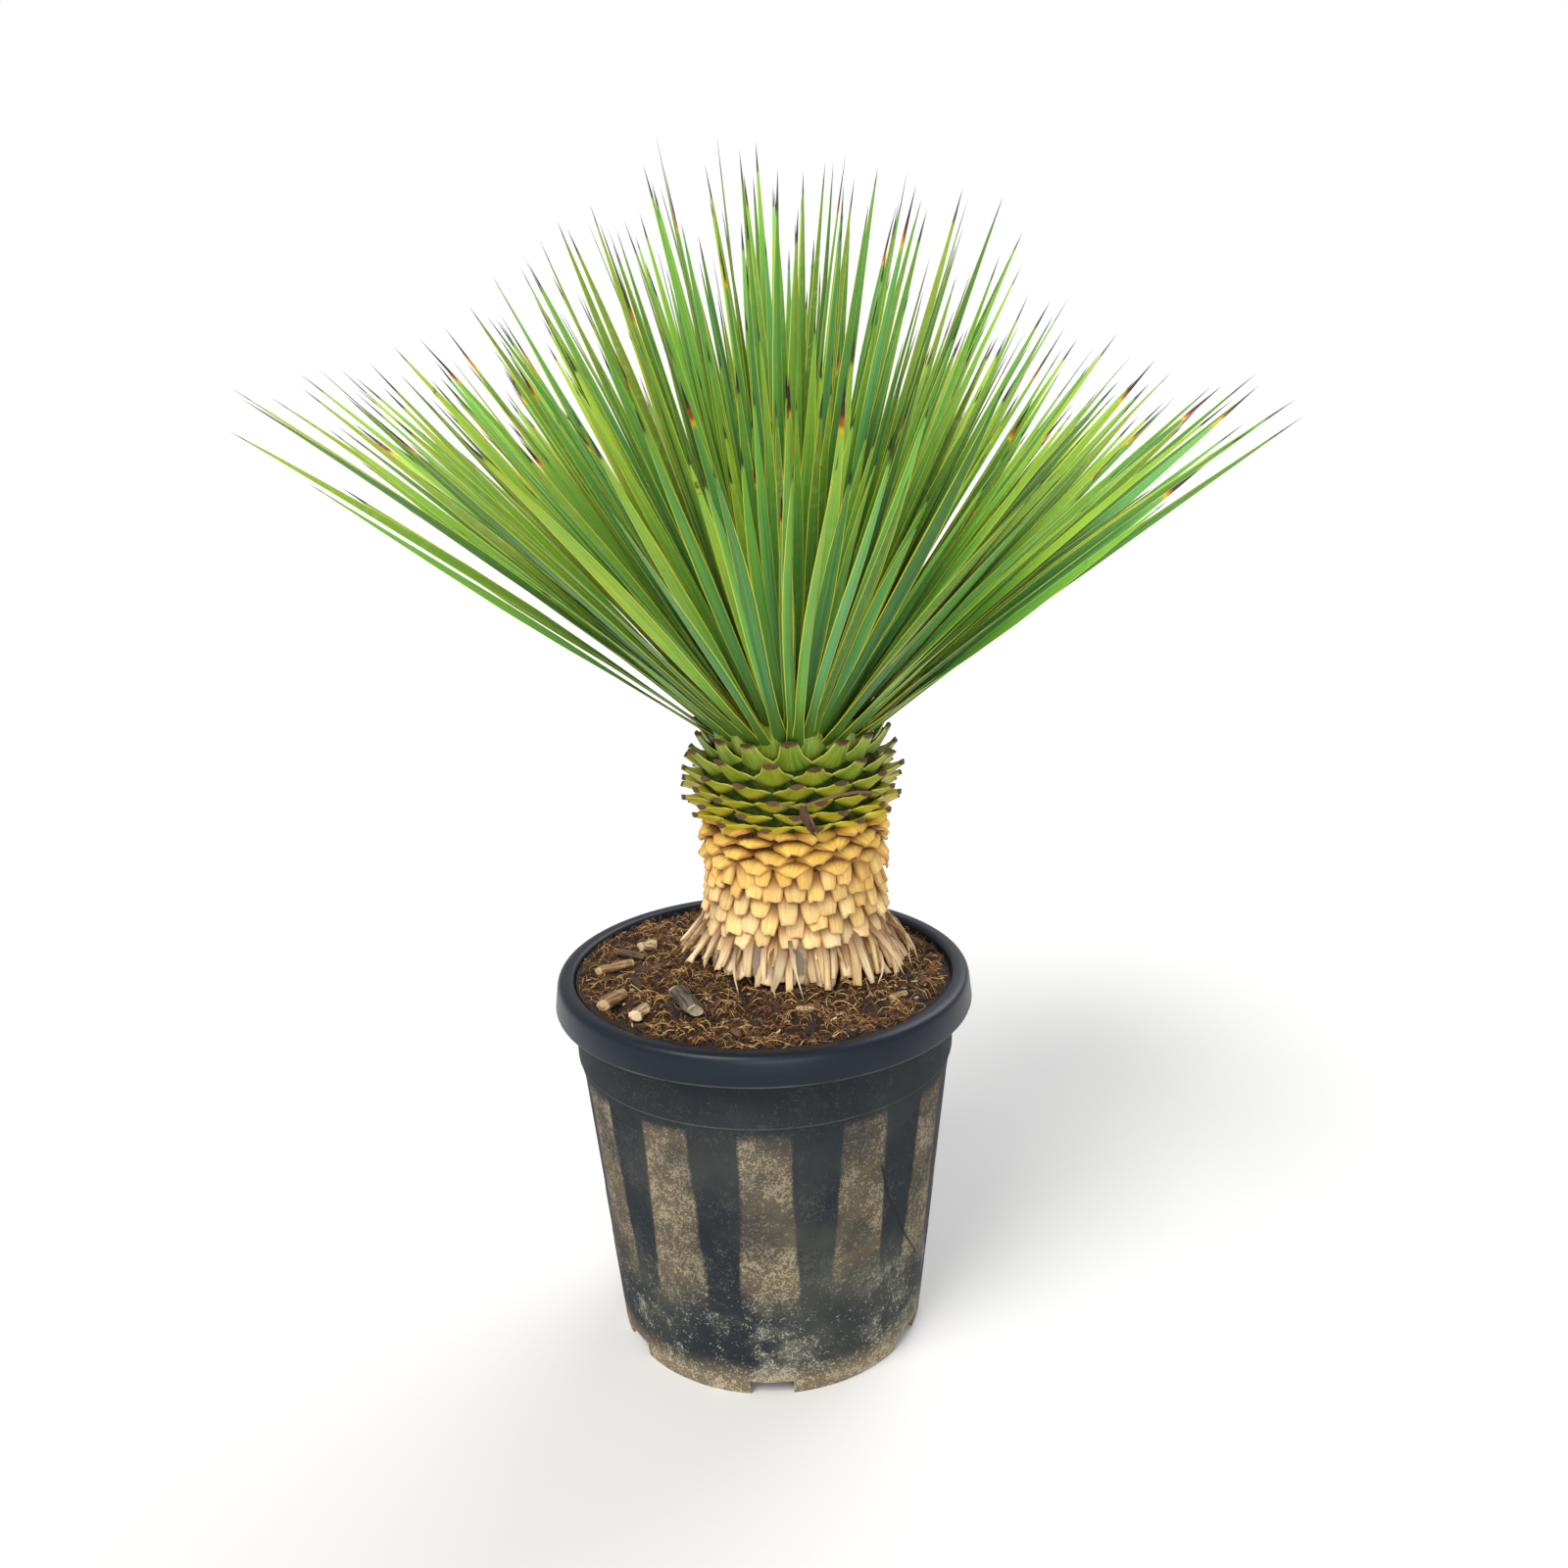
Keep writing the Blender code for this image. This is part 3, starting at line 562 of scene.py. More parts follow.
@dataclass(frozen=True)
class SharedEffects:
    """The effects that several finishes share."""

    grain: bpy.types.NodeTree
    blotch: bpy.types.NodeTree
    speckle: bpy.types.NodeTree

    @classmethod
    def build(cls) -> "SharedEffects":
        """Build each effect once."""
        return cls(cls.build_grain(), cls.build_blotch(), cls.build_speckle())

    @staticmethod
    def build_grain() -> bpy.types.NodeTree:
        """Build lengthwise fibres: fine lines across the UV, drawn out along it."""
        group, graph = new_group(
            "lengthwise_grain",
            {"Chart": "Vector", "Lines": "Float", "Draw": "Float", "Offset": "Float"},
            {"Tone": "Float", "Height": "Float"},
        )
        given = graph.node("NodeGroupInput").outputs
        wide, far, _ = graph.parts(given["Chart"])
        place = graph.join(
            graph.times(wide, given["Lines"]),
            graph.times(far, given["Draw"]),
            graph.times(given["Offset"], 91.0),
        )
        coarse = graph.noise(place, 0.55, 2.0)
        fine = graph.noise(place, 1.7, 3.0, 0.65)
        both = graph.plus(graph.times(coarse, 0.55), graph.times(fine, 0.45))
        result = graph.node("NodeGroupOutput").inputs
        graph.put(result["Tone"], graph.step(both, 0.34, 0.66))
        graph.put(result["Height"], both)
        return group

    @staticmethod
    def build_blotch() -> bpy.types.NodeTree:
        """Build soft-edged patches that cover a share of the surface."""
        group, graph = new_group(
            "soft_blotches",
            {"Place": "Vector", "Scale": "Float", "Cover": "Float", "Softness": "Float"},
            {"Mask": "Float"},
        )
        given = graph.node("NodeGroupInput").outputs
        spread = graph.noise(given["Place"], given["Scale"], 4.0, 0.6)
        edge = graph.less(0.78, graph.times(given["Cover"], 0.56))
        mask = graph.step(spread, edge, graph.plus(edge, given["Softness"]))
        graph.put(graph.node("NodeGroupOutput").inputs["Mask"], mask)
        return group

    @staticmethod
    def build_speckle() -> bpy.types.NodeTree:
        """Build fine grit: small separate specks in clouds."""
        group, graph = new_group(
            "fine_grit", {"Place": "Vector", "Cover": "Float"}, {"Mask": "Float", "Height": "Float"}
        )
        given = graph.node("NodeGroupInput").outputs
        fine = graph.noise(given["Place"], 620.0, 2.0, 0.7)
        middle = graph.noise(given["Place"], 190.0, 3.0, 0.7)
        cloud = graph.noise(given["Place"], 26.0, 3.0, 0.6)
        both = graph.plus(graph.times(fine, 0.6), graph.times(middle, 0.4))
        level = graph.plus(both, graph.times(cloud, 0.35))
        edge = graph.less(0.92, graph.times(given["Cover"], 0.42))
        result = graph.node("NodeGroupOutput").inputs
        graph.put(result["Mask"], graph.step(level, edge, graph.plus(edge, 0.07)))
        graph.put(result["Height"], both)
        return group


def surface(
    graph: Graph, shader: dict[str, Socket], colour: Input, rough: Input,
    normal: Input = None, shine: Input = None,
) -> None:
    """Set what a finish has on its shader: its colour, roughness, normal and how much it shines."""
    graph.put(shader["Base Color"], colour)
    graph.put(shader["Roughness"], rough)
    graph.put(shader["Normal"], normal)
    graph.put(shader["Specular IOR Level"], shine)


def new_finish(name: str) -> tuple[bpy.types.Material, Graph, dict[str, Socket]]:
    """Start a material and return it with a graph and the Principled shader's sockets."""
    material = bpy.data.materials.new(name)
    material.use_nodes = True
    shader = material.node_tree.nodes["Principled BSDF"]
    return material, Graph(material.node_tree), {socket.name: socket for socket in shader.inputs}


# Finishes


@dataclass(frozen=True)
class LeafFinish:
    """A leathery leaf: striped along, pale at its margins, painted shade at its base, yellower and brighter
    toward its tip partly as a painted backlit glow, burnt at its tip.
    """

    effects: SharedEffects
    cool: Colour = (0.045, 0.215, 0.062)
    fresh: Colour = (0.110, 0.310, 0.022)
    warm: Colour = (0.340, 0.420, 0.012)
    # base: painted shade, the dark green that each leaf's root takes at the crowded neck of the crown.
    base: Colour = (0.060, 0.140, 0.012)
    margin: Colour = (0.700, 0.640, 0.045)
    bloom: Colour = (0.240, 0.450, 0.140)
    rust: Colour = (0.110, 0.025, 0.005)

    def material(self) -> bpy.types.Material:
        """Build the material."""
        material, graph, shader = new_finish("leaf_green")
        chart = graph.coordinates("UV")
        place = graph.coordinates("Object")
        wide, far, _ = graph.parts(chart)
        own = graph.value("own")
        warm = graph.value("warm")
        grain = graph.use(self.effects.grain, chart=chart, lines=26.0, draw=2.2, offset=own)
        shade = graph.plus(warm, graph.drift(place, 9.0, 0.7))
        # Painted light: the colour turns yellower and brighter toward each leaf's tip, partly the leaf's own
        # colour and partly a painted backlit glow.
        shade = graph.plus(shade, graph.math("MULTIPLY_ADD", far, 0.40, -0.20))
        body = graph.ramp(shade, ((0.0, self.cool), (0.5, self.fresh), (1.0, self.warm)))
        lit = graph.coat(body, self.bloom, 0.55)
        body = graph.coat(body, lit, grain["Tone"], 0.55)
        lines = graph.math("MULTIPLY_ADD", grain["Tone"], 0.40, 0.72)
        lines = graph.times(lines, graph.math("MULTIPLY_ADD", own, 0.95, 0.56))
        body = graph.mix(1.0, body, lines, "MULTIPLY")
        powder = graph.use(self.effects.blotch, place=place, scale=150.0, cover=0.46, softness=0.10)["Mask"]
        body = graph.coat(body, self.bloom, powder, graph.times(warm, 0.45))
        # Painted shade: each leaf darkens toward its root, where the crown is crowded.
        body = graph.coat(body, self.base, graph.step(far, 0.34, 0.06))
        from_middle = graph.from_middle(wide)
        edge = graph.step(from_middle, 0.84, 0.92)
        body = graph.coat(body, self.margin, edge, 0.90)
        cover = graph.value("spots")
        spots = graph.use(self.effects.blotch, place=place, scale=34.0, cover=cover, softness=0.05)
        body = graph.coat(body, self.rust, spots["Mask"], 0.85)
        tip = graph.value("tip")
        start = graph.less(1.0, graph.times(tip, 2.0))
        ragged = graph.drift(place, 60.0, tip, 2.0)
        burn = graph.step(graph.plus(far, ragged), start, 1.0)
        needle = graph.ramp(
            burn, ((0.0, (0.090, 0.120, 0.010)), (0.35, (0.030, 0.028, 0.014)), (0.7, (0.010, 0.010, 0.018)))
        )
        burnt = graph.ramp(
            burn,
            (
                (0.00, (0.34, 0.36, 0.015)), (0.16, (0.62, 0.40, 0.012)), (0.30, (0.36, 0.085, 0.008)),
                (0.44, (0.090, 0.012, 0.006)), (0.75, (0.020, 0.007, 0.008)), (1.0, (0.010, 0.010, 0.018)),
            ),
        )
        burnt = graph.mix(graph.step(tip, 0.045, 0.06), needle, burnt)
        body = graph.coat(body, burnt, graph.step(burn, 0.02, 0.20))
        rough = graph.plus(graph.plus(0.40, graph.times(grain["Tone"], 0.14)), graph.times(powder, 0.12))
        surface(graph, shader, body, rough, graph.bump(grain["Height"], 0.35, 0.0012), 0.35)
        return material


@dataclass(frozen=True)
class GreenBaseFinish:
    """A cut green leaf base: olive to grass green, yellow where it clasps, brown where it is cut, with painted
    shade where it leaves the trunk.
    """

    effects: SharedEffects
    low: Colour = (0.480, 0.370, 0.006)
    high: Colour = (0.095, 0.210, 0.010)
    pale: Colour = (0.760, 0.680, 0.130)
    # deep: painted shade, the near-black green at each base's root under the row above.
    deep: Colour = (0.020, 0.045, 0.004)
    cut: Colour = (0.020, 0.008, 0.004)

    def material(self) -> bpy.types.Material:
        """Build the material."""
        material, graph, shader = new_finish("green_leaf_base")
        chart = graph.coordinates("UV")
        place = graph.coordinates("Object")
        wide, far, _ = graph.parts(chart)
        own = graph.value("own")
        row = graph.value("row")
        grain = graph.use(self.effects.grain, chart=chart, lines=18.0, draw=2.0, offset=own)
        body = graph.mix(graph.plus(row, graph.drift(place, 38.0, 1.0)), self.low, self.high)
        lit = graph.coat(body, self.pale, 0.5)
        body = graph.coat(body, lit, grain["Tone"], 0.50)
        blotch = graph.use(self.effects.blotch, place=place, scale=60.0, cover=0.42, softness=0.20)["Mask"]
        body = graph.coat(body, self.low, blotch, 0.45)
        from_middle = graph.from_middle(wide)
        # Painted shade: each base darkens to near-black toward its root, where it leaves the trunk under the
        # row above.
        body = graph.coat(body, self.deep, graph.step(far, 0.45, 0.05), 0.85)
        body = graph.coat(body, self.pale, graph.step(from_middle, 0.86, 1.0), 0.8)
        wobble = graph.drift(place, 160.0, 0.16, 2.0)
        end = graph.step(graph.plus(far, wobble), 0.90, 0.98)
        tan = graph.mix(graph.noise(place, 300.0, 2.0), self.cut, (0.150, 0.070, 0.024))
        body = graph.coat(body, tan, end)
        rough = graph.plus(0.40, graph.times(end, 0.4))
        surface(graph, shader, body, rough, graph.bump(grain["Height"], 0.4, 0.001))
        return material


@dataclass(frozen=True)
class DryBaseFinish:
    """A dry leaf base: golden when young, cream when old, with painted shade where it leaves the trunk under
    the row above.
    """

    effects: SharedEffects
    golden: Colour = (0.840, 0.520, 0.012)
    ochre: Colour = (0.820, 0.480, 0.070)
    tan: Colour = (0.870, 0.620, 0.250)
    cream: Colour = (0.860, 0.710, 0.460)
    shadow: Colour = (0.150, 0.045, 0.008)
    grey: Colour = (0.120, 0.105, 0.090)

    def material(self) -> bpy.types.Material:
        """Build the material."""
        material, graph, shader = new_finish("dry_leaf_base")
        chart = graph.coordinates("UV")
        place = graph.coordinates("Object")
        wide, far, _ = graph.parts(chart)
        own = graph.value("own")
        grain = graph.use(self.effects.grain, chart=chart, lines=22.0, draw=1.6, offset=own)
        age = graph.plus(graph.value("age"), graph.drift(place, 45.0, 0.5))
        body = graph.ramp(age, ((0.0, self.golden), (0.35, self.ochre), (0.68, self.tan), (1.0, self.cream)))
        body = graph.coat(body, (0.86, 0.70, 0.46), grain["Tone"], 0.30)
        dark = graph.less(1.0, grain["Tone"])
        body = graph.coat(body, (0.36, 0.150, 0.035), dark, 0.42)
        from_middle = graph.from_middle(wide)
        body = graph.mix(1.0, body, graph.math("MULTIPLY_ADD", own, 0.34, 0.80), "MULTIPLY")
        rim = graph.times(graph.step(from_middle, 0.72, 1.0), 0.62)
        body = graph.coat(body, (0.34, 0.130, 0.022), rim)
        # Painted shade: each tongue darkens toward its root, under the row above.
        body = graph.coat(body, self.shadow, graph.step(far, 0.78, 0.22), 0.82)
        cover = graph.value("grey")
        worn = graph.use(self.effects.blotch, place=place, scale=70.0, cover=cover, softness=0.2)
        body = graph.coat(body, self.grey, worn["Mask"], 0.8)
        end = graph.step(far, 0.93, 1.0)
        body = graph.coat(body, (0.42, 0.250, 0.110), end, 0.6)
        rough = graph.plus(0.62, graph.times(grain["Tone"], 0.2))
        surface(graph, shader, body, rough, graph.bump(grain["Height"], 0.75, 0.0016), 0.3)
        return material


@dataclass(frozen=True)
class CoreShadeFinish:
    """What shows between the leaf bases: rough, and painted nearly dark as the shade between them."""

    name: str
    dark: Colour
    light: Colour

    def material(self) -> bpy.types.Material:
        """Build the material."""
        material, graph, shader = new_finish(self.name)
        place = graph.coordinates("Object")
        tone = graph.noise(place, 140.0, 4.0, 0.7)
        body = graph.mix(graph.step(tone, 0.40, 0.70), self.dark, self.light)
        rough = graph.math("MULTIPLY_ADD", tone, 0.2, 0.72)
        surface(graph, shader, body, rough, graph.bump(tone, 0.6, 0.002), 0.1)
        return material


@dataclass(frozen=True)
class PotFinish:
    """Slate plastic under dust: tan panels between the flutes, grit on the base ring, a clean rim."""

    effects: SharedEffects
    plastic: Colour = (0.0072, 0.0110, 0.0165)
    sheen: Colour = (0.0058, 0.0100, 0.0180)
    dust: Colour = (0.140, 0.110, 0.066)
    film: Colour = (0.064, 0.067, 0.052)
    grit: Colour = (0.420, 0.350, 0.235)

    @staticmethod
    def scratch() -> list[tuple[float, Colour]]:
        """Return the scratch at the right as heights, each with the share of a turn from the side."""
        course = ((0.085, 29.0), (0.114, 38.0), (0.165, 49.0), (0.201, 53.5))
        return [(height, (degrees / 360.0,) * 3) for height, degrees in course]

    def material(self) -> bpy.types.Material:
        """Build the material."""
        material, graph, shader = new_finish("pot_plastic")
        place = graph.coordinates("Object")
        x, y, height = graph.parts(place)
        turn = graph.math("DIVIDE", graph.math("ARCTAN2", y, x), math.tau)
        wobble = graph.drift(place, 14.0, 0.22)
        phase = graph.math("FRACT", graph.times(graph.plus(turn, 0.25), 12.0))
        off = graph.math("ABSOLUTE", graph.less(phase, 0.5))
        gentle = graph.times(graph.step(height, 0.050, 0.240), 0.080)
        taper = graph.plus(graph.times(graph.step(height, 0.066, 0.092), 0.17), gentle)
        ragged = graph.plus(off, graph.times(wobble, 0.35))
        panel = graph.step(graph.less(ragged, taper), -0.020, 0.026)
        upper = graph.step(graph.plus(height, graph.times(wobble, 0.10)), 0.250, 0.238)
        lower = graph.step(graph.plus(height, graph.times(wobble, 0.24)), 0.074, 0.118)
        zone = graph.times(upper, lower)
        patch = graph.use(self.effects.blotch, place=place, scale=15.0, cover=0.80, softness=0.30)["Mask"]
        grit = graph.use(self.effects.speckle, place=place, cover=0.58)
        fine = graph.use(self.effects.speckle, place=place, cover=0.46)
        body = graph.mix(graph.noise(place, 5.0, 2.0), self.plastic, (0.012, 0.016, 0.021))
        below = graph.step(height, 0.292, 0.286)
        film = graph.use(self.effects.blotch, place=place, scale=9.0, cover=0.66, softness=0.34)["Mask"]
        haze = graph.math("MULTIPLY_ADD", graph.step(height, 0.26, 0.10), 0.35, 0.30)
        body = graph.coat(body, self.film, graph.times(film, below), haze)
        body = graph.coat(body, self.film, graph.times(fine["Mask"], below), haze)
        dusty = graph.times(graph.times(panel, zone), graph.math("MULTIPLY_ADD", patch, 0.75, 0.25))
        body = graph.coat(body, self.dust, dusty, 0.62)
        body = graph.coat(body, self.grit, graph.times(dusty, grit["Mask"]), 0.50)
        smear = graph.use(self.effects.blotch, place=place, scale=26.0, cover=0.56, softness=0.22)["Mask"]
        low = graph.step(graph.plus(height, graph.times(wobble, 0.15)), 0.125, 0.055)
        body = graph.coat(body, (0.125, 0.125, 0.096), graph.times(low, smear), 0.75)
        specks = graph.times(low, graph.times(fine["Mask"], 0.75))
        body = graph.coat(body, (0.340, 0.330, 0.265), specks)
        foot = graph.step(graph.plus(height, graph.times(wobble, 0.06)), 0.034, 0.006)
        body = graph.coat(body, (0.175, 0.135, 0.088), foot, 0.75)
        body = graph.coat(body, self.grit, foot, graph.times(grit["Mask"], 0.80))
        rim = graph.step(height, 0.2900, 0.2960)
        body = graph.coat(body, self.sheen, rim, 0.85)
        seam = graph.times(graph.step(height, 0.2945, 0.2958), graph.step(height, 0.2982, 0.2966))
        ledge = graph.times(graph.step(height, 0.2520, 0.2530), graph.step(height, 0.2552, 0.2542))
        worn = graph.times(graph.math("MAXIMUM", seam, ledge), graph.plus(patch, 0.15))
        body = graph.coat(body, (0.150, 0.145, 0.115), worn, 0.30)
        course = graph.ramp(height, self.scratch())
        away = graph.math("ABSOLUTE", graph.less(graph.times(turn, -1.0), course))
        span = graph.times(graph.step(height, 0.0840, 0.0860), graph.step(height, 0.2020, 0.1990))
        mark = graph.times(graph.step(away, 0.0020, 0.0008), span)
        body = graph.coat(body, (0.006, 0.007, 0.009), mark, 0.8)
        rough = graph.plus(graph.math("MULTIPLY_ADD", rim, -0.36, 0.72), graph.times(dusty, 0.2))
        surface(graph, shader, body, rough, graph.bump(grit["Height"], 0.25, 0.0008), 0.20)
        return material


@dataclass(frozen=True)
class SoilFinish:
    """Damp peat and coir: nearly black in its hollows, partly damp peat and partly painted shade, warm brown
    on its crumbs.
    """

    effects: SharedEffects
    # deep: the hollows' near-black, partly damp peat and partly painted shade.
    deep: Colour = (0.0020, 0.0009, 0.0005)
    crumb: Colour = (0.020, 0.0075, 0.0028)
    dry: Colour = (0.100, 0.045, 0.016)

    def material(self) -> bpy.types.Material:
        """Build the material."""
        material, graph, shader = new_finish("soil_coir")
        place = graph.coordinates("Object")
        coarse = graph.noise(place, 70.0, 5.0, 0.7)
        fine = graph.noise(place, 420.0, 3.0, 0.7)
        tone = graph.plus(graph.times(coarse, 0.6), graph.times(fine, 0.4))
        # The same noise raises the surface, so the near-black low end falls in the hollows: partly damp peat,
        # partly painted shade.
        body = graph.ramp(tone, ((0.36, self.deep), (0.52, self.crumb), (0.70, self.dry)))
        grit = graph.use(self.effects.speckle, place=place, cover=0.30)
        body = graph.coat(body, (0.15, 0.080, 0.030), grit["Mask"], 0.5)
        surface(graph, shader, body, graph.plus(0.78, graph.times(fine, 0.2)), graph.bump(tone, 0.9, 0.003))
        return material


@dataclass(frozen=True)
class CrumbFinish:
    """Loose bits in the soil, each of its own shade between two ends of a ramp."""

    name: str
    stops: Sequence[tuple[float, Colour]]
    lines: float = 6.0

    def material(self, effects: SharedEffects) -> bpy.types.Material:
        """Build the material.

        Args:
            effects: The shared effects.

        Returns:
            The new material.
        """
        material, graph, shader = new_finish(self.name)
        place = graph.coordinates("Object")
        own = graph.value("own")
        chart = graph.coordinates("UV")
        grain = graph.use(effects.grain, chart=chart, lines=self.lines, draw=1.5, offset=own)
        body = graph.ramp(own, self.stops)
        body = graph.mix(graph.times(grain["Tone"], 0.4), body, (0.62, 0.52, 0.36), "OVERLAY")
        body = graph.coat(body, (0.012, 0.005, 0.002), graph.noise(place, 240.0, 2.0), 0.4)
        rough = graph.plus(0.68, graph.times(grain["Tone"], 0.2))
        surface(graph, shader, body, rough, graph.bump(grain["Height"], 0.5, 0.0008))
        return material


@dataclass(frozen=True)
class ChipFinish:
    """A bit of wood: bark or bare side, with a paler cut end and a dark pith."""

    name: str
    side: Colour
    dark: Colour
    end: Colour

    def material(self, effects: SharedEffects) -> bpy.types.Material:
        """Build the material.

        Args:
            effects: The shared effects.

        Returns:
            The new material.
        """
        material, graph, shader = new_finish(self.name)
        chart = graph.coordinates("UV")
        place = graph.coordinates("Object")
        _, far, _ = graph.parts(chart)
        grain = graph.use(effects.grain, chart=chart, lines=14.0, draw=2.5, offset=0.31)
        body = graph.mix(grain["Tone"], self.dark, self.side)
        crust = graph.use(effects.blotch, place=place, scale=120.0, cover=0.5, softness=0.15)["Mask"]
        body = graph.coat(body, self.dark, crust, 0.5)
        tips = graph.math("MAXIMUM", graph.step(far, 0.93, 0.985), graph.step(far, 0.07, 0.015))
        body = graph.coat(body, graph.mix(graph.noise(place, 260.0, 2.0), self.end, self.side), tips)
        rough = graph.plus(0.70, graph.times(grain["Tone"], 0.2))
        surface(graph, shader, body, rough, graph.bump(grain["Height"], 0.8, 0.0016))
        return material


@dataclass(frozen=True)
class FloorFinish:
    """A plain pale studio floor."""

    def material(self) -> bpy.types.Material:
        """Build the material."""
        material, graph, shader = new_finish("studio_floor")
        tone = graph.noise(graph.coordinates("Object"), 3.0, 2.0)
        surface(graph, shader, graph.mix(tone, (0.61, 0.61, 0.61), (0.63, 0.63, 0.63)), 0.9)
        return material


def dress(obj: bpy.types.Object, material: bpy.types.Material, slot: str, *nodes: str) -> None:
    """Finish a piece: its material, the nodes it stands for, and the body it rides on.

    Args:
        obj: The piece.
        material: Its material.
        slot: The record's material slot; not used.
        nodes: The CAD nodes that it replaces.
    """
    obj.data.materials.clear()
    obj.data.materials.append(material)
    if nodes:
        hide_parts(*nodes)
    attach(obj, "root")
    LOG.info("%s: %d faces", obj.name, len(obj.data.polygons))


# Sub-assemblies


@dataclass
class NurseryPot:
    """The moulded pot: rim, collar, fluted wall, notched base ring, floor and centre foot."""

    height: float = 0.320
    rim_radius: float = 0.1700
    band_radius: float = 0.1736
    band_height: float = 0.0240
    band_wall: float = 0.0030
    lip: float = 0.0050
    collar_top: float = 0.1588
    collar_foot: float = 0.1572
    collar_height: float = 0.2530
    step: float = 0.0016
    wall: float = 0.0028
    base_radius: float = 0.1308
    ring: float = 0.0045
    underside: float = 0.0138
    floor: float = 0.0030
    foot_radius: float = 0.0240
    flutes: int = 12
    flute_depth: float = 0.0012
    notches: int = 6
    notch_size: tuple[float, float] = (0.0350, 0.0125)
    drain: tuple[float, float] = (0.0060, 0.0850)
    segments: int = 192

    @property
    def flute_spans(self) -> dict[float, float]:
        """The rings of the wall that the flutes cross, each with half a flute's share of its period."""
        return {
            0.2400: 0.245, 0.2250: 0.250, 0.1800: 0.250, 0.1350: 0.250, 0.1200: 0.245, 0.1060: 0.225,
            0.0940: 0.190, 0.0840: 0.150, 0.0760: 0.090,
        }

    def wall_radius(self, height: float) -> float:
        """Return the wall's outer radius at a height, without its flutes."""
        top = self.collar_foot - self.step
        return self.base_radius + (top - self.base_radius) * height / self.collar_height

    def section(self) -> list[tuple[float, float]]:
        """Return the closed section, from the floor's centre over the lip to the foot's centre."""
        top = self.height
        floor_top = self.underside + self.floor
        inside = [
            (0.0300, floor_top), (0.0900, floor_top),
            (self.wall_radius(floor_top) - self.wall - 0.002, floor_top),
            (self.wall_radius(floor_top) - self.wall, floor_top + 0.002),
            (self.wall_radius(0.13) - self.wall, 0.13),
            (self.collar_foot - self.step - self.wall, self.collar_height),
            (self.collar_foot - self.wall, self.collar_height + self.lip),
            (self.collar_top - self.wall, top - self.lip),
        ]
        rim = [
            (self.collar_top - 0.0022, top - 0.0032), (self.collar_top - 0.0014, top - 0.0014),
            (self.collar_top - 0.0002, top - 0.0004), (self.collar_top + 0.0014, top),
            (self.rim_radius - 0.0050, top), (self.rim_radius - 0.0024, top - 0.0004),
            (self.rim_radius - 0.0006, top - 0.0016), (self.rim_radius + 0.0006, top - 0.0036),
            (self.rim_radius + 0.0012, top - 0.0060),
        ]
        low = top - self.band_height
        band = [
            (self.band_radius - 0.0003, low + 0.0014), (self.band_radius - 0.0008, low),
            (self.band_radius - self.band_wall, low), (self.rim_radius - self.band_wall, top - self.lip),
            (self.collar_top, top - self.lip),
        ]
        edge = self.collar_height
        collar = [
            (self.collar_foot + 0.0002, edge + 0.0030), (self.collar_foot, edge + 0.0014),
            (self.collar_foot - 0.0005, edge + 0.0005), (self.collar_foot - self.step, edge),
        ]
        heights = (0.2460, *self.flute_spans, 0.0700, 0.0400)
        wall = [(self.wall_radius(height), height) for height in heights]
        foot = [
            (self.wall_radius(0.0150), 0.0150), (self.wall_radius(0.0030), 0.0030),
            (self.base_radius - 0.0008, 0.0), (self.base_radius - self.ring, 0.0),
            (self.base_radius - self.ring, self.underside), (self.foot_radius, self.underside),
            (self.foot_radius, 0.0), (self.foot_radius * 0.5, 0.0),
        ]
        return inside + rim + band + collar + wall + foot

    def press_flutes(self, pot: bpy.types.Object) -> None:
        """Press the flutes into the wall, ring by ring, narrowing to a point at their feet."""
        period = math.tau / self.flutes
        with edit(pot):
            for level, span in self.flute_spans.items():
                for share, depth in ((span, 0.55), (span - 0.055, 0.45)):

                    def in_flute(place: Vector) -> bool:
                        """Say whether a place is on the outer wall, inside a flute, at this level."""
                        turn = (math.atan2(place.y, place.x) + math.pi * 0.5) / period
                        off = abs(turn - math.floor(turn) - 0.5)
                        outer = math.hypot(place.x, place.y) > self.wall_radius(level) - self.wall * 0.8
                        return abs(place.z - level) < 0.0005 and outer and off < share

                    pick(pot, Pick.VERTS, in_flute)
                    shrink = 1.0 - self.flute_depth * depth / self.wall_radius(level)
                    bpy.ops.transform.resize(value=(shrink, shrink, 1.0), center_override=(0.0, 0.0, level))

    def cutters(self) -> bpy.types.Object:
        """Return the tools that cut the notches and the drain holes, joined in one object."""
        bpy.ops.object.select_all(action="DESELECT")
        tools = []
        for index in range(self.notches):
            angle = -math.pi * 0.5 + index * math.tau / self.notches
            across, tall = self.notch_size
            place = outward(angle) * self.base_radius + UPWARD * (tall * 0.5 - 0.001)
            bpy.ops.mesh.primitive_cube_add(size=1.0, location=place, rotation=(0.0, 0.0, angle))
            tool = bpy.context.active_object
            tool.scale = (self.ring * 4.0, across, tall + 0.002)
            tools.append(tool)
            radius, circle = self.drain
            angle += math.pi / self.notches
            place = outward(angle) * circle + UPWARD * self.underside
            deep = self.underside * 2.0
            bpy.ops.mesh.primitive_cylinder_add(vertices=24, radius=radius, depth=deep, location=place)
            tools.append(bpy.context.active_object)
        only(tools[0])
        for tool in tools:
            tool.select_set(True)
        bpy.ops.object.join()
        return bpy.context.active_object

    def build(self) -> bpy.types.Object:
        """Build the pot."""
        pot = lathe("nursery_pot", self.section(), self.segments)
        self.press_flutes(pot)
        tools = self.cutters()
        cut = pot.modifiers.new("cut", "BOOLEAN")
        cut.operation = "DIFFERENCE"
        cut.object = tools
        cut.solver = "EXACT"
        apply_all(pot)
        bpy.data.meshes.remove(tools.data)
        smooth(pot, 28.0)
        return pot


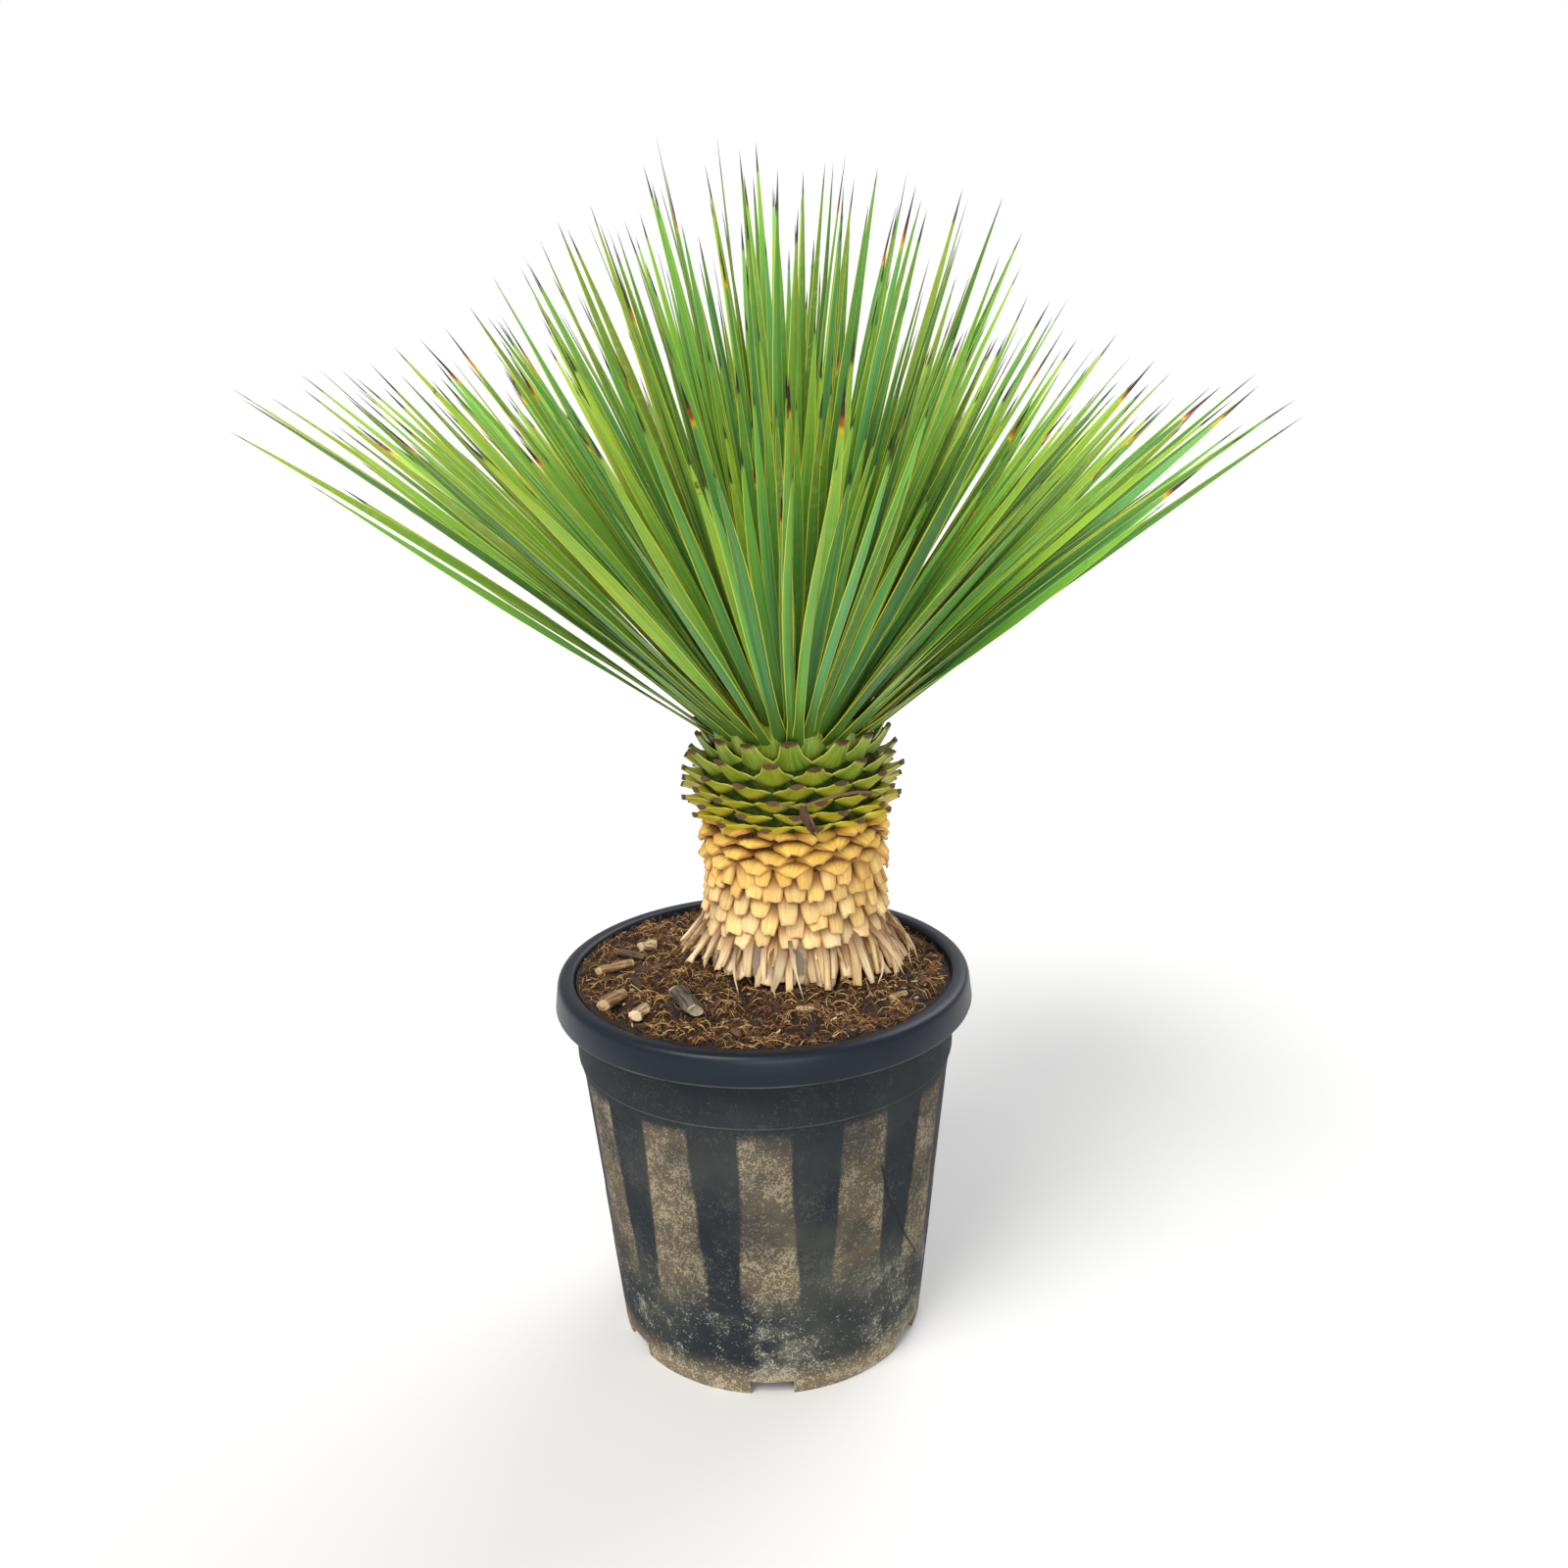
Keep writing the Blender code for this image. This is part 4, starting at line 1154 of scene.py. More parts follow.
@dataclass
class SoilBed:
    """The soil: a bumpy fill with crumbs, fibres, pale flakes and two specks of moss."""

    pot: NurseryPot
    edge: float = 0.3120
    mound: float = 0.0110
    mound_reach: float = 0.0600
    tilt: tuple[float, float] = (-0.020, -0.022)
    bump: float = 0.0034
    stump: float = 0.0580
    segments: int = 180
    fibre_reach: float = 0.1535
    rings: int = 74

    def height(self, x: float, y: float) -> float:
        """Return the soil's height at a place, with the bumps that the solid has."""
        from_trunk = math.hypot(x - TRUNK_X, y - TRUNK_Y) - self.stump
        mound = self.mound * math.exp(-max(0.0, from_trunk) / self.mound_reach)
        bumps = noise.noise(Vector((x, y, 0.2)) * 48.0) + 0.6 * noise.noise(Vector((x, y, 0.7)) * 110.0)
        near = min(1.0, max(0.0, math.hypot(x, y) - 0.135) / 0.02)
        tilted = self.edge + mound + self.tilt[0] * x + self.tilt[1] * y
        return tilted + self.bump * bumps * (1.0 - 0.7 * near)

    def surface(self, x: float, y: float) -> float:
        """Return the height with fine clods on it, which die away at the pot's wall."""
        near = min(1.0, max(0.0, math.hypot(x, y) - 0.146) / 0.008)
        clods = noise.noise(Vector((x, y, 0.4)) * 130.0) * 0.0030
        clods += noise.noise(Vector((x, y, 0.9)) * 420.0) * 0.0012
        return self.height(x, y) + clods * (1.0 - 0.6 * near)

    def build_fill(self) -> bpy.types.Object:
        """Build the fill, with a dense top that is raised by the height's formula."""
        wall = self.pot.wall
        side = [
            (self.pot.collar_top - wall - GAP, self.edge - 0.004),
            (self.pot.collar_foot - wall - GAP, self.pot.collar_height + self.pot.lip),
            (self.pot.collar_foot - self.pot.step - wall - GAP, self.pot.collar_height),
            (self.pot.wall_radius(0.0190) - wall - GAP, 0.0190),
            (0.0400, 0.0172),
        ]
        radius = side[0][0]
        top = [(radius * (index + 1) / self.rings, self.edge) for index in range(self.rings)]
        fill = lathe("soil_fill", top + side, self.segments)
        for vertex in fill.data.vertices:
            if vertex.co.z > self.edge - 0.001:
                vertex.co.z = self.surface(vertex.co.x, vertex.co.y)
        smooth(fill, 70.0)
        return fill

    def spots(self, count: int, draw: random.Random, reach: float = 0.152) -> Iterator[tuple[float, float]]:
        """Yield places in clumps over the soil, clear of the trunk and mostly of the chips."""
        boxes = [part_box(f"wood_chip_{number}") for number in range(1, 10)]
        found = 0
        while found < count:
            x, y = draw.uniform(-reach, reach), draw.uniform(-reach, reach)
            clump = noise.noise(Vector((x, y, 1.3)) * 60.0) > draw.uniform(-0.7, 0.35)
            on_chip = any(low.x < x < high.x and low.y < y < high.y for low, high in boxes)
            inside = math.hypot(x, y) < reach and math.hypot(x - TRUNK_X, y - TRUNK_Y) > 0.070
            if inside and clump and not (on_chip and draw.random() < 0.85):
                found += 1
                yield x, y

    def build_fibres(self) -> bpy.types.Object:
        """Build the curly coir fibres that lie over one another on the soil."""
        draw = random.Random(SEED + 30)
        stamp = Stamp.model(round_section(3), (0.0, 0.22, 0.45, 0.7, 1.0), End.POINTED)
        batch = Batch("own")
        for x, y in self.spots(6000, draw):
            heading = draw.uniform(0.0, math.tau)
            length = draw.uniform(0.005, 0.019) * (1.7 if draw.random() < 0.12 else 1.0)
            curl = draw.uniform(-1.9, 1.9)
            lift = draw.uniform(0.0004, 0.0056)
            thick = draw.uniform(0.00013, 0.00036)
            points = []
            px, py = x, y
            for index, share in enumerate(stamp.stations):
                stepped = length * (share - (stamp.stations[index - 1] if index else 0.0))
                px += math.cos(heading + curl * share) * stepped
                py += math.sin(heading + curl * share) * stepped
                reach = math.hypot(px, py)
                if reach > self.fibre_reach:
                    px, py = px * self.fibre_reach / reach, py * self.fibre_reach / reach
                rise = lift * math.sin(math.pi * min(1.0, share + 0.12)) + draw.uniform(0.0, 0.0012)
                points.append((px, py, self.surface(px, py) + thick + rise))
            width = np.full(len(points), thick)
            path = Ribbon.along(np.array(points), UPWARD + 0.01, width, width)
            batch.add(stamp, stamp.lay(path), own=draw.random())
        return batch.make("soil_fibres", 80.0)

    def build_crumbs(self) -> bpy.types.Object:
        """Build the dark crumbs of peat and bark."""
        draw = random.Random(SEED + 31)
        stamp = Stamp.model(round_section(6), (0.0, 0.2, 0.6, 1.0), End.CUT)
        batch = Batch("own")
        for x, y in self.spots(1500, draw, 0.150):
            size = draw.uniform(0.0012, 0.0036) * (2.0 if draw.random() < 0.10 else 1.0)
            angle = draw.uniform(0.0, math.tau)
            run = outward(angle) + UPWARD * draw.uniform(-0.25, 0.25)
            length = size * draw.uniform(1.2, 2.6)
            middle = np.array([x, y, self.surface(x, y) + size * 0.25])
            centre = middle + run * ((stamp.stations - 0.5) * length)[:, None]
            width = size * np.array([0.45, 0.9, 1.0, 0.5]) * draw.uniform(0.4, 0.8)
            thick = width * draw.uniform(0.5, 0.95)
            path = Ribbon.along(centre, sideways(angle), width, thick, 0.0, draw.random())
            points = stamp.lay(path)
            jitter = np.array([[draw.uniform(-1, 1) for _ in range(3)] for _ in range(len(points))])
            points += jitter * size * 0.13
            batch.add(stamp, points, own=draw.random())
        return batch.make("soil_crumbs", 40.0)

    def build_flakes(self) -> bpy.types.Object:
        """Build the pale flakes and straws."""
        draw = random.Random(SEED + 32)
        stamp = Stamp.model(flat_section(4), (0.0, 0.4, 1.0), End.CUT)
        batch = Batch("own")
        for x, y in self.spots(330, draw, 0.150):
            angle = draw.uniform(0.0, math.tau)
            length = draw.uniform(0.0018, 0.0065)
            half = draw.uniform(0.0005, 0.0013)
            run = outward(angle) + UPWARD * draw.uniform(-0.3, 0.3)
            middle = np.array([x, y, self.surface(x, y) + draw.uniform(0.0010, 0.0034)])
            centre = middle + run * ((stamp.stations - 0.5) * length)[:, None]
            width, thick = half * np.array([0.6, 1.0, 0.7]), np.full(3, 0.0006)
            path = Ribbon.along(centre, sideways(angle), width, thick, 0.0, draw.uniform(-0.6, 0.6))
            batch.add(stamp, stamp.lay(path), own=draw.random())
        return batch.make("soil_flakes", 40.0)

    def build_moss(self) -> bpy.types.Object:
        """Build the two specks of moss from small pointed leaves."""
        draw = random.Random(SEED + 33)
        stamp = Stamp.model(flat_section(4), (0.0, 0.5, 1.0), End.POINTED)
        batch = Batch("own")
        for x, y, spread, count in ((-0.146, 0.003, 0.0045, 60), (-0.034, -0.048, 0.0035, 40)):
            for _ in range(count):
                angle = draw.uniform(0.0, math.tau)
                away = spread * math.sqrt(draw.random())
                root = np.array([x + away * math.cos(angle), y + away * math.sin(angle), 0.0])
                root[2] = self.surface(root[0], root[1])
                run = outward(draw.uniform(0.0, math.tau)) * 0.7 + UPWARD
                centre = root + run * (stamp.stations * draw.uniform(0.002, 0.0042))[:, None]
                width, thick = np.array([0.0004, 0.0007, 0.0]), np.full(3, 0.0004)
                path = Ribbon.along(centre, sideways(angle), width, thick)
                batch.add(stamp, stamp.lay(path), own=draw.random())
        return batch.make("soil_moss", 60.0)

    def build(self, effects: SharedEffects) -> None:
        """Build and dress the soil and what lies in it."""
        dress(self.build_fill(), SoilFinish(effects).material(), "soil_coir", "soil")
        bits = (
            (self.build_fibres, "coir_fibre", (
                (0.0, (0.006, 0.002, 0.001)), (0.42, (0.060, 0.016, 0.004)),
                (0.74, (0.250, 0.100, 0.022)), (1.0, (0.80, 0.52, 0.18)),
            )),
            (self.build_crumbs, "peat_crumb", (
                (0.0, (0.002, 0.001, 0.001)), (0.55, (0.018, 0.007, 0.003)), (1.0, (0.140, 0.060, 0.022)),
            )),
            (self.build_flakes, "pale_flake", (
                (0.0, (0.24, 0.150, 0.070)), (0.5, (0.46, 0.33, 0.18)), (1.0, (0.74, 0.64, 0.44)),
            )),
            (self.build_moss, "moss_green", ((0.0, (0.02, 0.08, 0.004)), (1.0, (0.10, 0.20, 0.010)))),
        )
        for build, name, stops in bits:
            dress(build(), CrumbFinish(name, stops).material(effects), "soil_coir")


@dataclass
class DryTrunk:
    """The lower trunk: rows of dry tongues over its core, and the skirt of strips at the soil."""

    soil: SoilBed
    rows: int = 7
    per_row: int = 26
    highest: float = 0.4260
    lowest: float = 0.3480
    lift: float = 0.0088
    shelves: int = 4
    per_shelf: int = 14
    strips: int = 44
    tiers: int = 3

    @staticmethod
    def core(height: float) -> float:
        """Return the radius of the trunk's core at a height."""
        return along(((0.350, 0.0680), (0.378, 0.0665), (0.412, 0.0655), (DRY_TOP, 0.0690)), height)

    def build_core(self) -> bpy.types.Object:
        """Build the core and the stump that stands in the soil."""
        heights = (0.4500, 0.4300, 0.4120, 0.3950, 0.3780, 0.3640, 0.3500)
        section = [(0.0200, DRY_TOP)] + [(self.core(height), height) for height in heights]
        section += [(0.0580, 0.3360), (0.0580, 0.2640), (0.0560, 0.2620), (0.0200, 0.2620)]
        core = lathe("trunk_core", section, 96)
        shift(core, (TRUNK_X, TRUNK_Y, 0.0))
        smooth(core, 40.0)
        return core

    def shelf(self, batch: Batch, stamp: Stamp, row: int, index: int, draw: random.Random) -> None:
        """Add one broad golden scale that juts from the trunk under the green bases."""
        angle = (index + 0.5 * (row % 2)) * math.tau / self.per_shelf + draw.uniform(-0.05, 0.05)
        height = DRY_TOP + 0.0010 - 0.0088 * row + draw.uniform(-0.0010, 0.0010)
        jut = draw.uniform(0.0085, 0.0135)
        drop = draw.uniform(0.0010, 0.0035) + 0.0016 * row
        core = self.core(height)
        root = around(angle, core - 0.0020, height + 0.0020)
        middle = around(angle, core + 0.0060, height + 0.0030)
        centre = bend(root, middle, around(angle, core + jut, height - drop), stamp.stations)
        blunt = draw.uniform(0.16, 0.40)
        half = 0.0168 * np.interp(stamp.stations, (0.0, 0.45, 0.75, 1.0), (1.0, 0.96, 0.62, blunt))
        thick = 0.0022 * np.interp(stamp.stations, (0.0, 0.7, 1.0), (1.4, 1.0, 0.6))
        path = Ribbon.along(centre, sideways(angle), half, thick, -0.0030, draw.uniform(-0.10, 0.10))
        points = stamp.lay(path)
        points[:, 2] += stamp.ripple(1.8, row * 4.1, index * 5.7) * 0.0030 * stamp.stations[stamp.ring]
        age = 0.04 + 0.10 * row + draw.uniform(-0.04, 0.06)
        batch.add(stamp, points, own=draw.random(), age=age, grey=draw.uniform(0.0, 0.1))

    def tongue(self, batch: Batch, stamp: Stamp, row: int, index: int, draw: random.Random) -> None:
        """Add one dry tongue that hangs from the trunk and rests on the row below it."""
        share = row / (self.rows - 1)
        angle = (index + 0.5 * (row % 2)) * math.tau / self.per_row + draw.uniform(-0.04, 0.04)
        step = (self.highest - self.lowest) / (self.rows - 1)
        top = self.highest + 0.0050 - row * step + draw.uniform(-0.0016, 0.0016)
        length = step * draw.uniform(1.50, 2.00)
        lift = self.lift * draw.uniform(0.85, 1.15)
        lean = draw.uniform(-0.05, 0.05)
        heights = top - length * stamp.stations
        swell = np.interp(stamp.stations, (0.0, 0.25, 0.6, 1.0), (-0.10, 0.40, 0.84, 1.0))
        flare = 0.0038 * draw.uniform(-0.2, 1.0) * stamp.stations**3
        centre = np.array(
            [
                around(angle + lean * station, self.core(height) + lift * grow + out, height)
                for station, height, grow, out in zip(stamp.stations, heights, swell, flare)
            ]
        )
        narrow = draw.uniform(0.62, 0.88)
        wide = 0.0086 * draw.uniform(0.82, 1.12)
        half = wide * np.interp(stamp.stations, (0.0, 0.3, 0.7, 1.0), (1.05, 1.05, 0.94, narrow))
        thick = 0.0015 * np.interp(stamp.stations, (0.0, 0.8, 1.0), (1.0, 1.0, 0.8))
        path = Ribbon.along(centre, sideways(angle), half, thick, -0.0025, draw.uniform(-0.20, 0.20))
        points = stamp.lay(path)
        points[stamp.last, 2] += stamp.ripple(2.5, row * 3.1, index * 7.7)[stamp.last] * 0.0030
        grey = draw.uniform(0.0, 0.25) if share < 0.7 else draw.uniform(0.0, 0.45)
        age = 0.40 + 0.50 * share + draw.uniform(-0.10, 0.10)
        batch.add(stamp, points, own=draw.random(), age=age, grey=grey)

    def strip(self, batch: Batch, stamp: Stamp, tier: int, index: int, draw: random.Random) -> None:
        """Add one long dry strip that splays from the trunk's foot down to the soil."""
        angle = (index + tier / self.tiers) * math.tau / self.strips + draw.uniform(-0.05, 0.05)
        top = 0.3720 - 0.0075 * tier + draw.uniform(-0.002, 0.002)
        left, front = max(0.0, -math.cos(angle)), max(0.0, -math.sin(angle))
        reach = 0.0975 - 0.0050 * tier - 0.0130 * front + draw.uniform(-0.006, 0.005)
        heading = angle + draw.uniform(-0.10, 0.10)
        end = around(heading, reach, 0.0)
        end[2] = self.soil.surface(end[0], end[1]) + 0.0022
        end[2] += draw.uniform(0.0, 0.0040) * (self.tiers - 1 - tier)
        end[2] += (0.0110 * left + 0.0030) * draw.uniform(0.3, 1.0)
        root = around(angle, self.core(top) + 0.0005, top)
        middle = around(angle * 0.6 + heading * 0.4, self.core(top) + 0.0135 - 0.0022 * tier, top - 0.020)
        centre = bend(root, middle, end, stamp.stations)
        sway = np.sin(stamp.stations * math.pi) * draw.uniform(-0.0022, 0.0022)
        centre += sideways(angle) * sway[:, None]
        half = draw.uniform(0.0026, 0.0052) * np.interp(
            stamp.stations, (0.0, 0.3, 0.75, 1.0), (1.15, 1.0, 0.92, draw.uniform(0.30, 0.90))
        )
        thick = 0.0013 * np.interp(stamp.stations, (0.0, 0.8, 1.0), (1.2, 1.0, 0.7))
        twist = draw.uniform(-0.45, 0.45) * stamp.stations**1.5
        path = Ribbon.along(centre, sideways(angle), half, thick, draw.uniform(-0.0016, 0.0010), twist)
        points = stamp.lay(path)
        frayed = stamp.ripple(2.2, tier * 5.3, index * 3.9)[stamp.last] * 0.0050
        points[stamp.last] += outward(angle) * frayed[:, None]
        left_low = max(0.0, math.cos(angle - math.radians(235.0)))
        grey = draw.uniform(0.0, 0.30) + (0.70 * left_low if draw.random() < 0.25 else 0.0)
        batch.add(stamp, points, own=draw.random(), age=draw.uniform(0.72, 1.08), grey=grey)

    def wisp(self, batch: Batch, stamp: Stamp, index: int, draw: random.Random) -> None:
        """Add one thin curved wisp that curls from the skirt toward the soil."""
        angle = draw.uniform(-0.9, 0.35) if index % 2 else draw.uniform(0.0, math.tau)
        top = draw.uniform(0.350, 0.366)
        heading = angle + draw.uniform(-0.25, 0.25)
        end = around(heading, draw.uniform(0.094, 0.104), 0.0)
        end[2] = self.soil.surface(end[0], end[1]) + 0.0025
        root = around(angle, self.core(top), top)
        middle = around(angle, self.core(top) + draw.uniform(0.018, 0.028), top - draw.uniform(0.000, 0.010))
        centre = bend(root, middle, end, stamp.stations)
        half = draw.uniform(0.0012, 0.0024) * np.interp(stamp.stations, (0.0, 0.6, 1.0), (1.3, 1.0, 0.0))
        thick = np.full(len(half), 0.0009)
        path = Ribbon.along(centre, sideways(angle), half, thick, 0.0, draw.uniform(-0.9, 0.9))
        batch.add(
            stamp, stamp.lay(path),
            own=draw.random(), age=draw.uniform(0.8, 1.1), grey=draw.uniform(0.0, 0.3),
        )

    def build_scrap(self) -> bpy.types.Object:
        """Build the withered scrap on the trunk and the thin strand that curves away from it."""
        stamp = Stamp.model(round_section(6), (0.0, 0.15, 0.3, 0.5, 0.7, 0.85, 1.0), End.POINTED)
        batch = Batch("own")
        lay = (
            (-1.49, 0.0900, 0.4790, -1.52, 0.0980, 0.4690, -1.38, 0.0900, 0.4530, 0.0038),
            (-1.51, 0.0900, 0.4770, -1.42, 0.0970, 0.4660, -1.37, 0.0890, 0.4550, 0.0028),
            (-1.50, 0.0910, 0.4790, -1.00, 0.1040, 0.4960, -0.66, 0.0930, 0.4740, 0.0014),
            (-1.52, 0.0910, 0.4770, -1.68, 0.1000, 0.4850, -1.76, 0.0900, 0.4740, 0.0011),
        )
        for index, (a0, r0, z0, a1, r1, z1, a2, r2, z2, half) in enumerate(lay):
            centre = bend(around(a0, r0, z0), around(a1, r1, z1), around(a2, r2, z2), stamp.stations)
            width = half * np.interp(stamp.stations, (0.0, 0.4, 0.8, 1.0), (0.7, 1.0, 0.8, 0.0))
            path = Ribbon.along(centre, sideways(a0), width, width * 0.5, 0.0, stamp.stations * 1.8)
            batch.add(stamp, stamp.lay(path), own=index * 0.23)
        return batch.make("withered_scrap", 60.0)

    def build(self, effects: SharedEffects) -> None:
        """Build and dress the core, the tongues, the skirt and the scrap."""
        finish = DryBaseFinish(effects).material()
        draw = random.Random(SEED + 20)
        stamp = Stamp.model(flat_section(8), (0.0, 0.25, 0.50, 0.72, 0.88, 1.0), End.CUT)
        tongues = Batch("own", "age", "grey")
        for row in range(self.shelves):
            for index in range(self.per_shelf):
                self.shelf(tongues, stamp, row, index, draw)
        for row in range(self.rows):
            for index in range(self.per_row):
                self.tongue(tongues, stamp, row, index, draw)
        strips = Batch("own", "age", "grey")
        long_stamp = Stamp.model(flat_section(6), (0.0, 0.17, 0.34, 0.51, 0.68, 0.84, 1.0), End.CUT)
        for tier in range(self.tiers):
            for index in range(self.strips):
                self.strip(strips, long_stamp, tier, index, draw)
        wisp_stamp = Stamp.model(flat_section(6), (0.0, 0.2, 0.4, 0.6, 0.8, 1.0), End.POINTED)
        for index in range(16):
            self.wisp(strips, wisp_stamp, index, draw)
        core = self.build_core()
        # The dry core is painted nearly dark, as the shade between the tongues.
        dark = CoreShadeFinish("dry_core_shade", (0.050, 0.018, 0.005), (0.180, 0.080, 0.022)).material()
        dress(core, dark, "dry_leaf_base", "trunk_dry_bases")
        dress(tongues.make("dry_tongues", 34.0), finish, "dry_leaf_base")
        dress(strips.make("dry_skirt", 34.0), finish, "dry_leaf_base")
        scrap = CrumbFinish("withered_brown", ((0.0, (0.070, 0.032, 0.014)), (1.0, (0.30, 0.19, 0.08))), 8.0)
        dress(self.build_scrap(), scrap.material(effects), "dry_leaf_base")


@dataclass
class GreenTrunk:
    """The upper trunk: rows of green leaf bases that clasp it, each cut to a stub."""

    rows: int = 6
    collar: int = 1
    per_row: int = 14
    first: float = 0.4575
    step: float = 0.0095
    base_width: float = 0.0345
    base_height: float = 0.0076
    length: float = 0.0170
    root: float = 0.0030

    @staticmethod
    def core(height: float) -> float:
        """Return the radius of the trunk's core at a height."""
        radii = ((DRY_TOP, 0.0700), (0.466, 0.0730), (0.486, 0.0730), (0.498, 0.0685), (GREEN_TOP, 0.0620))
        return along(radii, height)

    def build_core(self) -> bpy.types.Object:
        """Build the core under the leaf bases."""
        heights = (GREEN_TOP, 0.503, 0.498, 0.486, 0.466, DRY_TOP + GAP)
        section = [(0.0200, GREEN_TOP)] + [(self.core(height), height) for height in heights]
        section.append((0.0200, DRY_TOP + GAP))
        core = lathe("green_core_shade", section, 72)
        shift(core, (TRUNK_X, TRUNK_Y, 0.0))
        smooth(core, 40.0)
        return core

    def stub(
        self, batch: Batch, stamp: Stamp, row: int, index: int, draw: random.Random, own: random.Random
    ) -> None:
        """Add one leaf base, placed as in the solid: it clasps the trunk and ends in its cut stub."""
        angle = (index + 0.5 * (row % 2)) * math.tau / self.per_row + draw.uniform(-0.03, 0.03)
        height = self.first + row * self.step
        share = row / (self.rows - 1)
        rise = math.radians(6.0 + 46.0 * share * share) + draw.uniform(-0.08, 0.08)
        run = outward(angle) * math.cos(rise) + UPWARD * math.sin(rise)
        length = self.length * (1.0 - 0.18 * share) * draw.uniform(0.85, 1.15)
        core = self.core(height)
        length *= (1.0 + 0.75 * share * share) * own.uniform(0.88, 1.15)
        tip = around(angle, core, height) + run * length
        tip += sideways(angle) * own.uniform(-0.0022, 0.0022)
        root = around(angle, core - self.root, height - 0.0070)
        middle = around(angle, core + 0.0050, height - 0.0010)
        centre = bend(root, middle, tip, stamp.stations)
        slim = np.array([1.0, 1.0, 0.86, 0.60, 0.40, 0.33, 0.28])
        slim += np.array([0.0, 0.0, 0.0, 0.10, 0.14, 0.12, 0.08]) * share
        width = np.interp(stamp.stations, (0.0, 0.20, 0.36, 0.50, 0.66, 0.85, 1.0), slim)
        tall = np.interp(stamp.stations, (0.0, 0.3, 0.6, 1.0), (1.0, 0.90, 0.72, 0.58))
        cup = np.interp(stamp.stations, (0.0, 0.45, 0.70, 1.0), (0.0048, 0.0040, 0.0014, 0.0006))
        half, thick = self.base_width * 0.5 * width, self.base_height * tall
        path = Ribbon.along(centre, sideways(angle), half, thick, cup, own.uniform(-0.10, 0.10))
        points = stamp.lay(path)
        batch.add(stamp, points, own=index * 0.071 + row * 0.13, row=0.05 + 0.95 * share)

    def build(self, effects: SharedEffects) -> None:
        """Build and dress the core and its leaf bases."""
        draw, own = random.Random(SEED + 1), random.Random(SEED + 41)
        section = np.array(
            [
                (1.00, 0.00), (0.80, 0.16), (0.42, 0.36), (0.00, 0.46), (-0.42, 0.36), (-0.80, 0.16),
                (-1.00, 0.00), (-0.80, -0.16), (-0.42, -0.36), (0.00, -0.50), (0.42, -0.36), (0.80, -0.16),
            ]
        )
        stamp = Stamp.model(section, (0.0, 0.10, 0.20, 0.32, 0.46, 0.62, 0.80, 0.94, 1.0), End.CUT)
        batch = Batch("own", "row")
        for row in range(self.rows + self.collar):
            for index in range(self.per_row):
                self.stub(batch, stamp, row, index, draw, own)
        finish = GreenBaseFinish(effects).material()
        # The green core is painted nearly dark, as the shade between the leaf bases.
        dark = CoreShadeFinish("green_core_shade", (0.012, 0.024, 0.003), (0.045, 0.075, 0.008)).material()
        dress(self.build_core(), dark, "green_leaf_base", "trunk_green_bases")
        dress(batch.make("green_bases", 50.0), finish, "green_leaf_base")


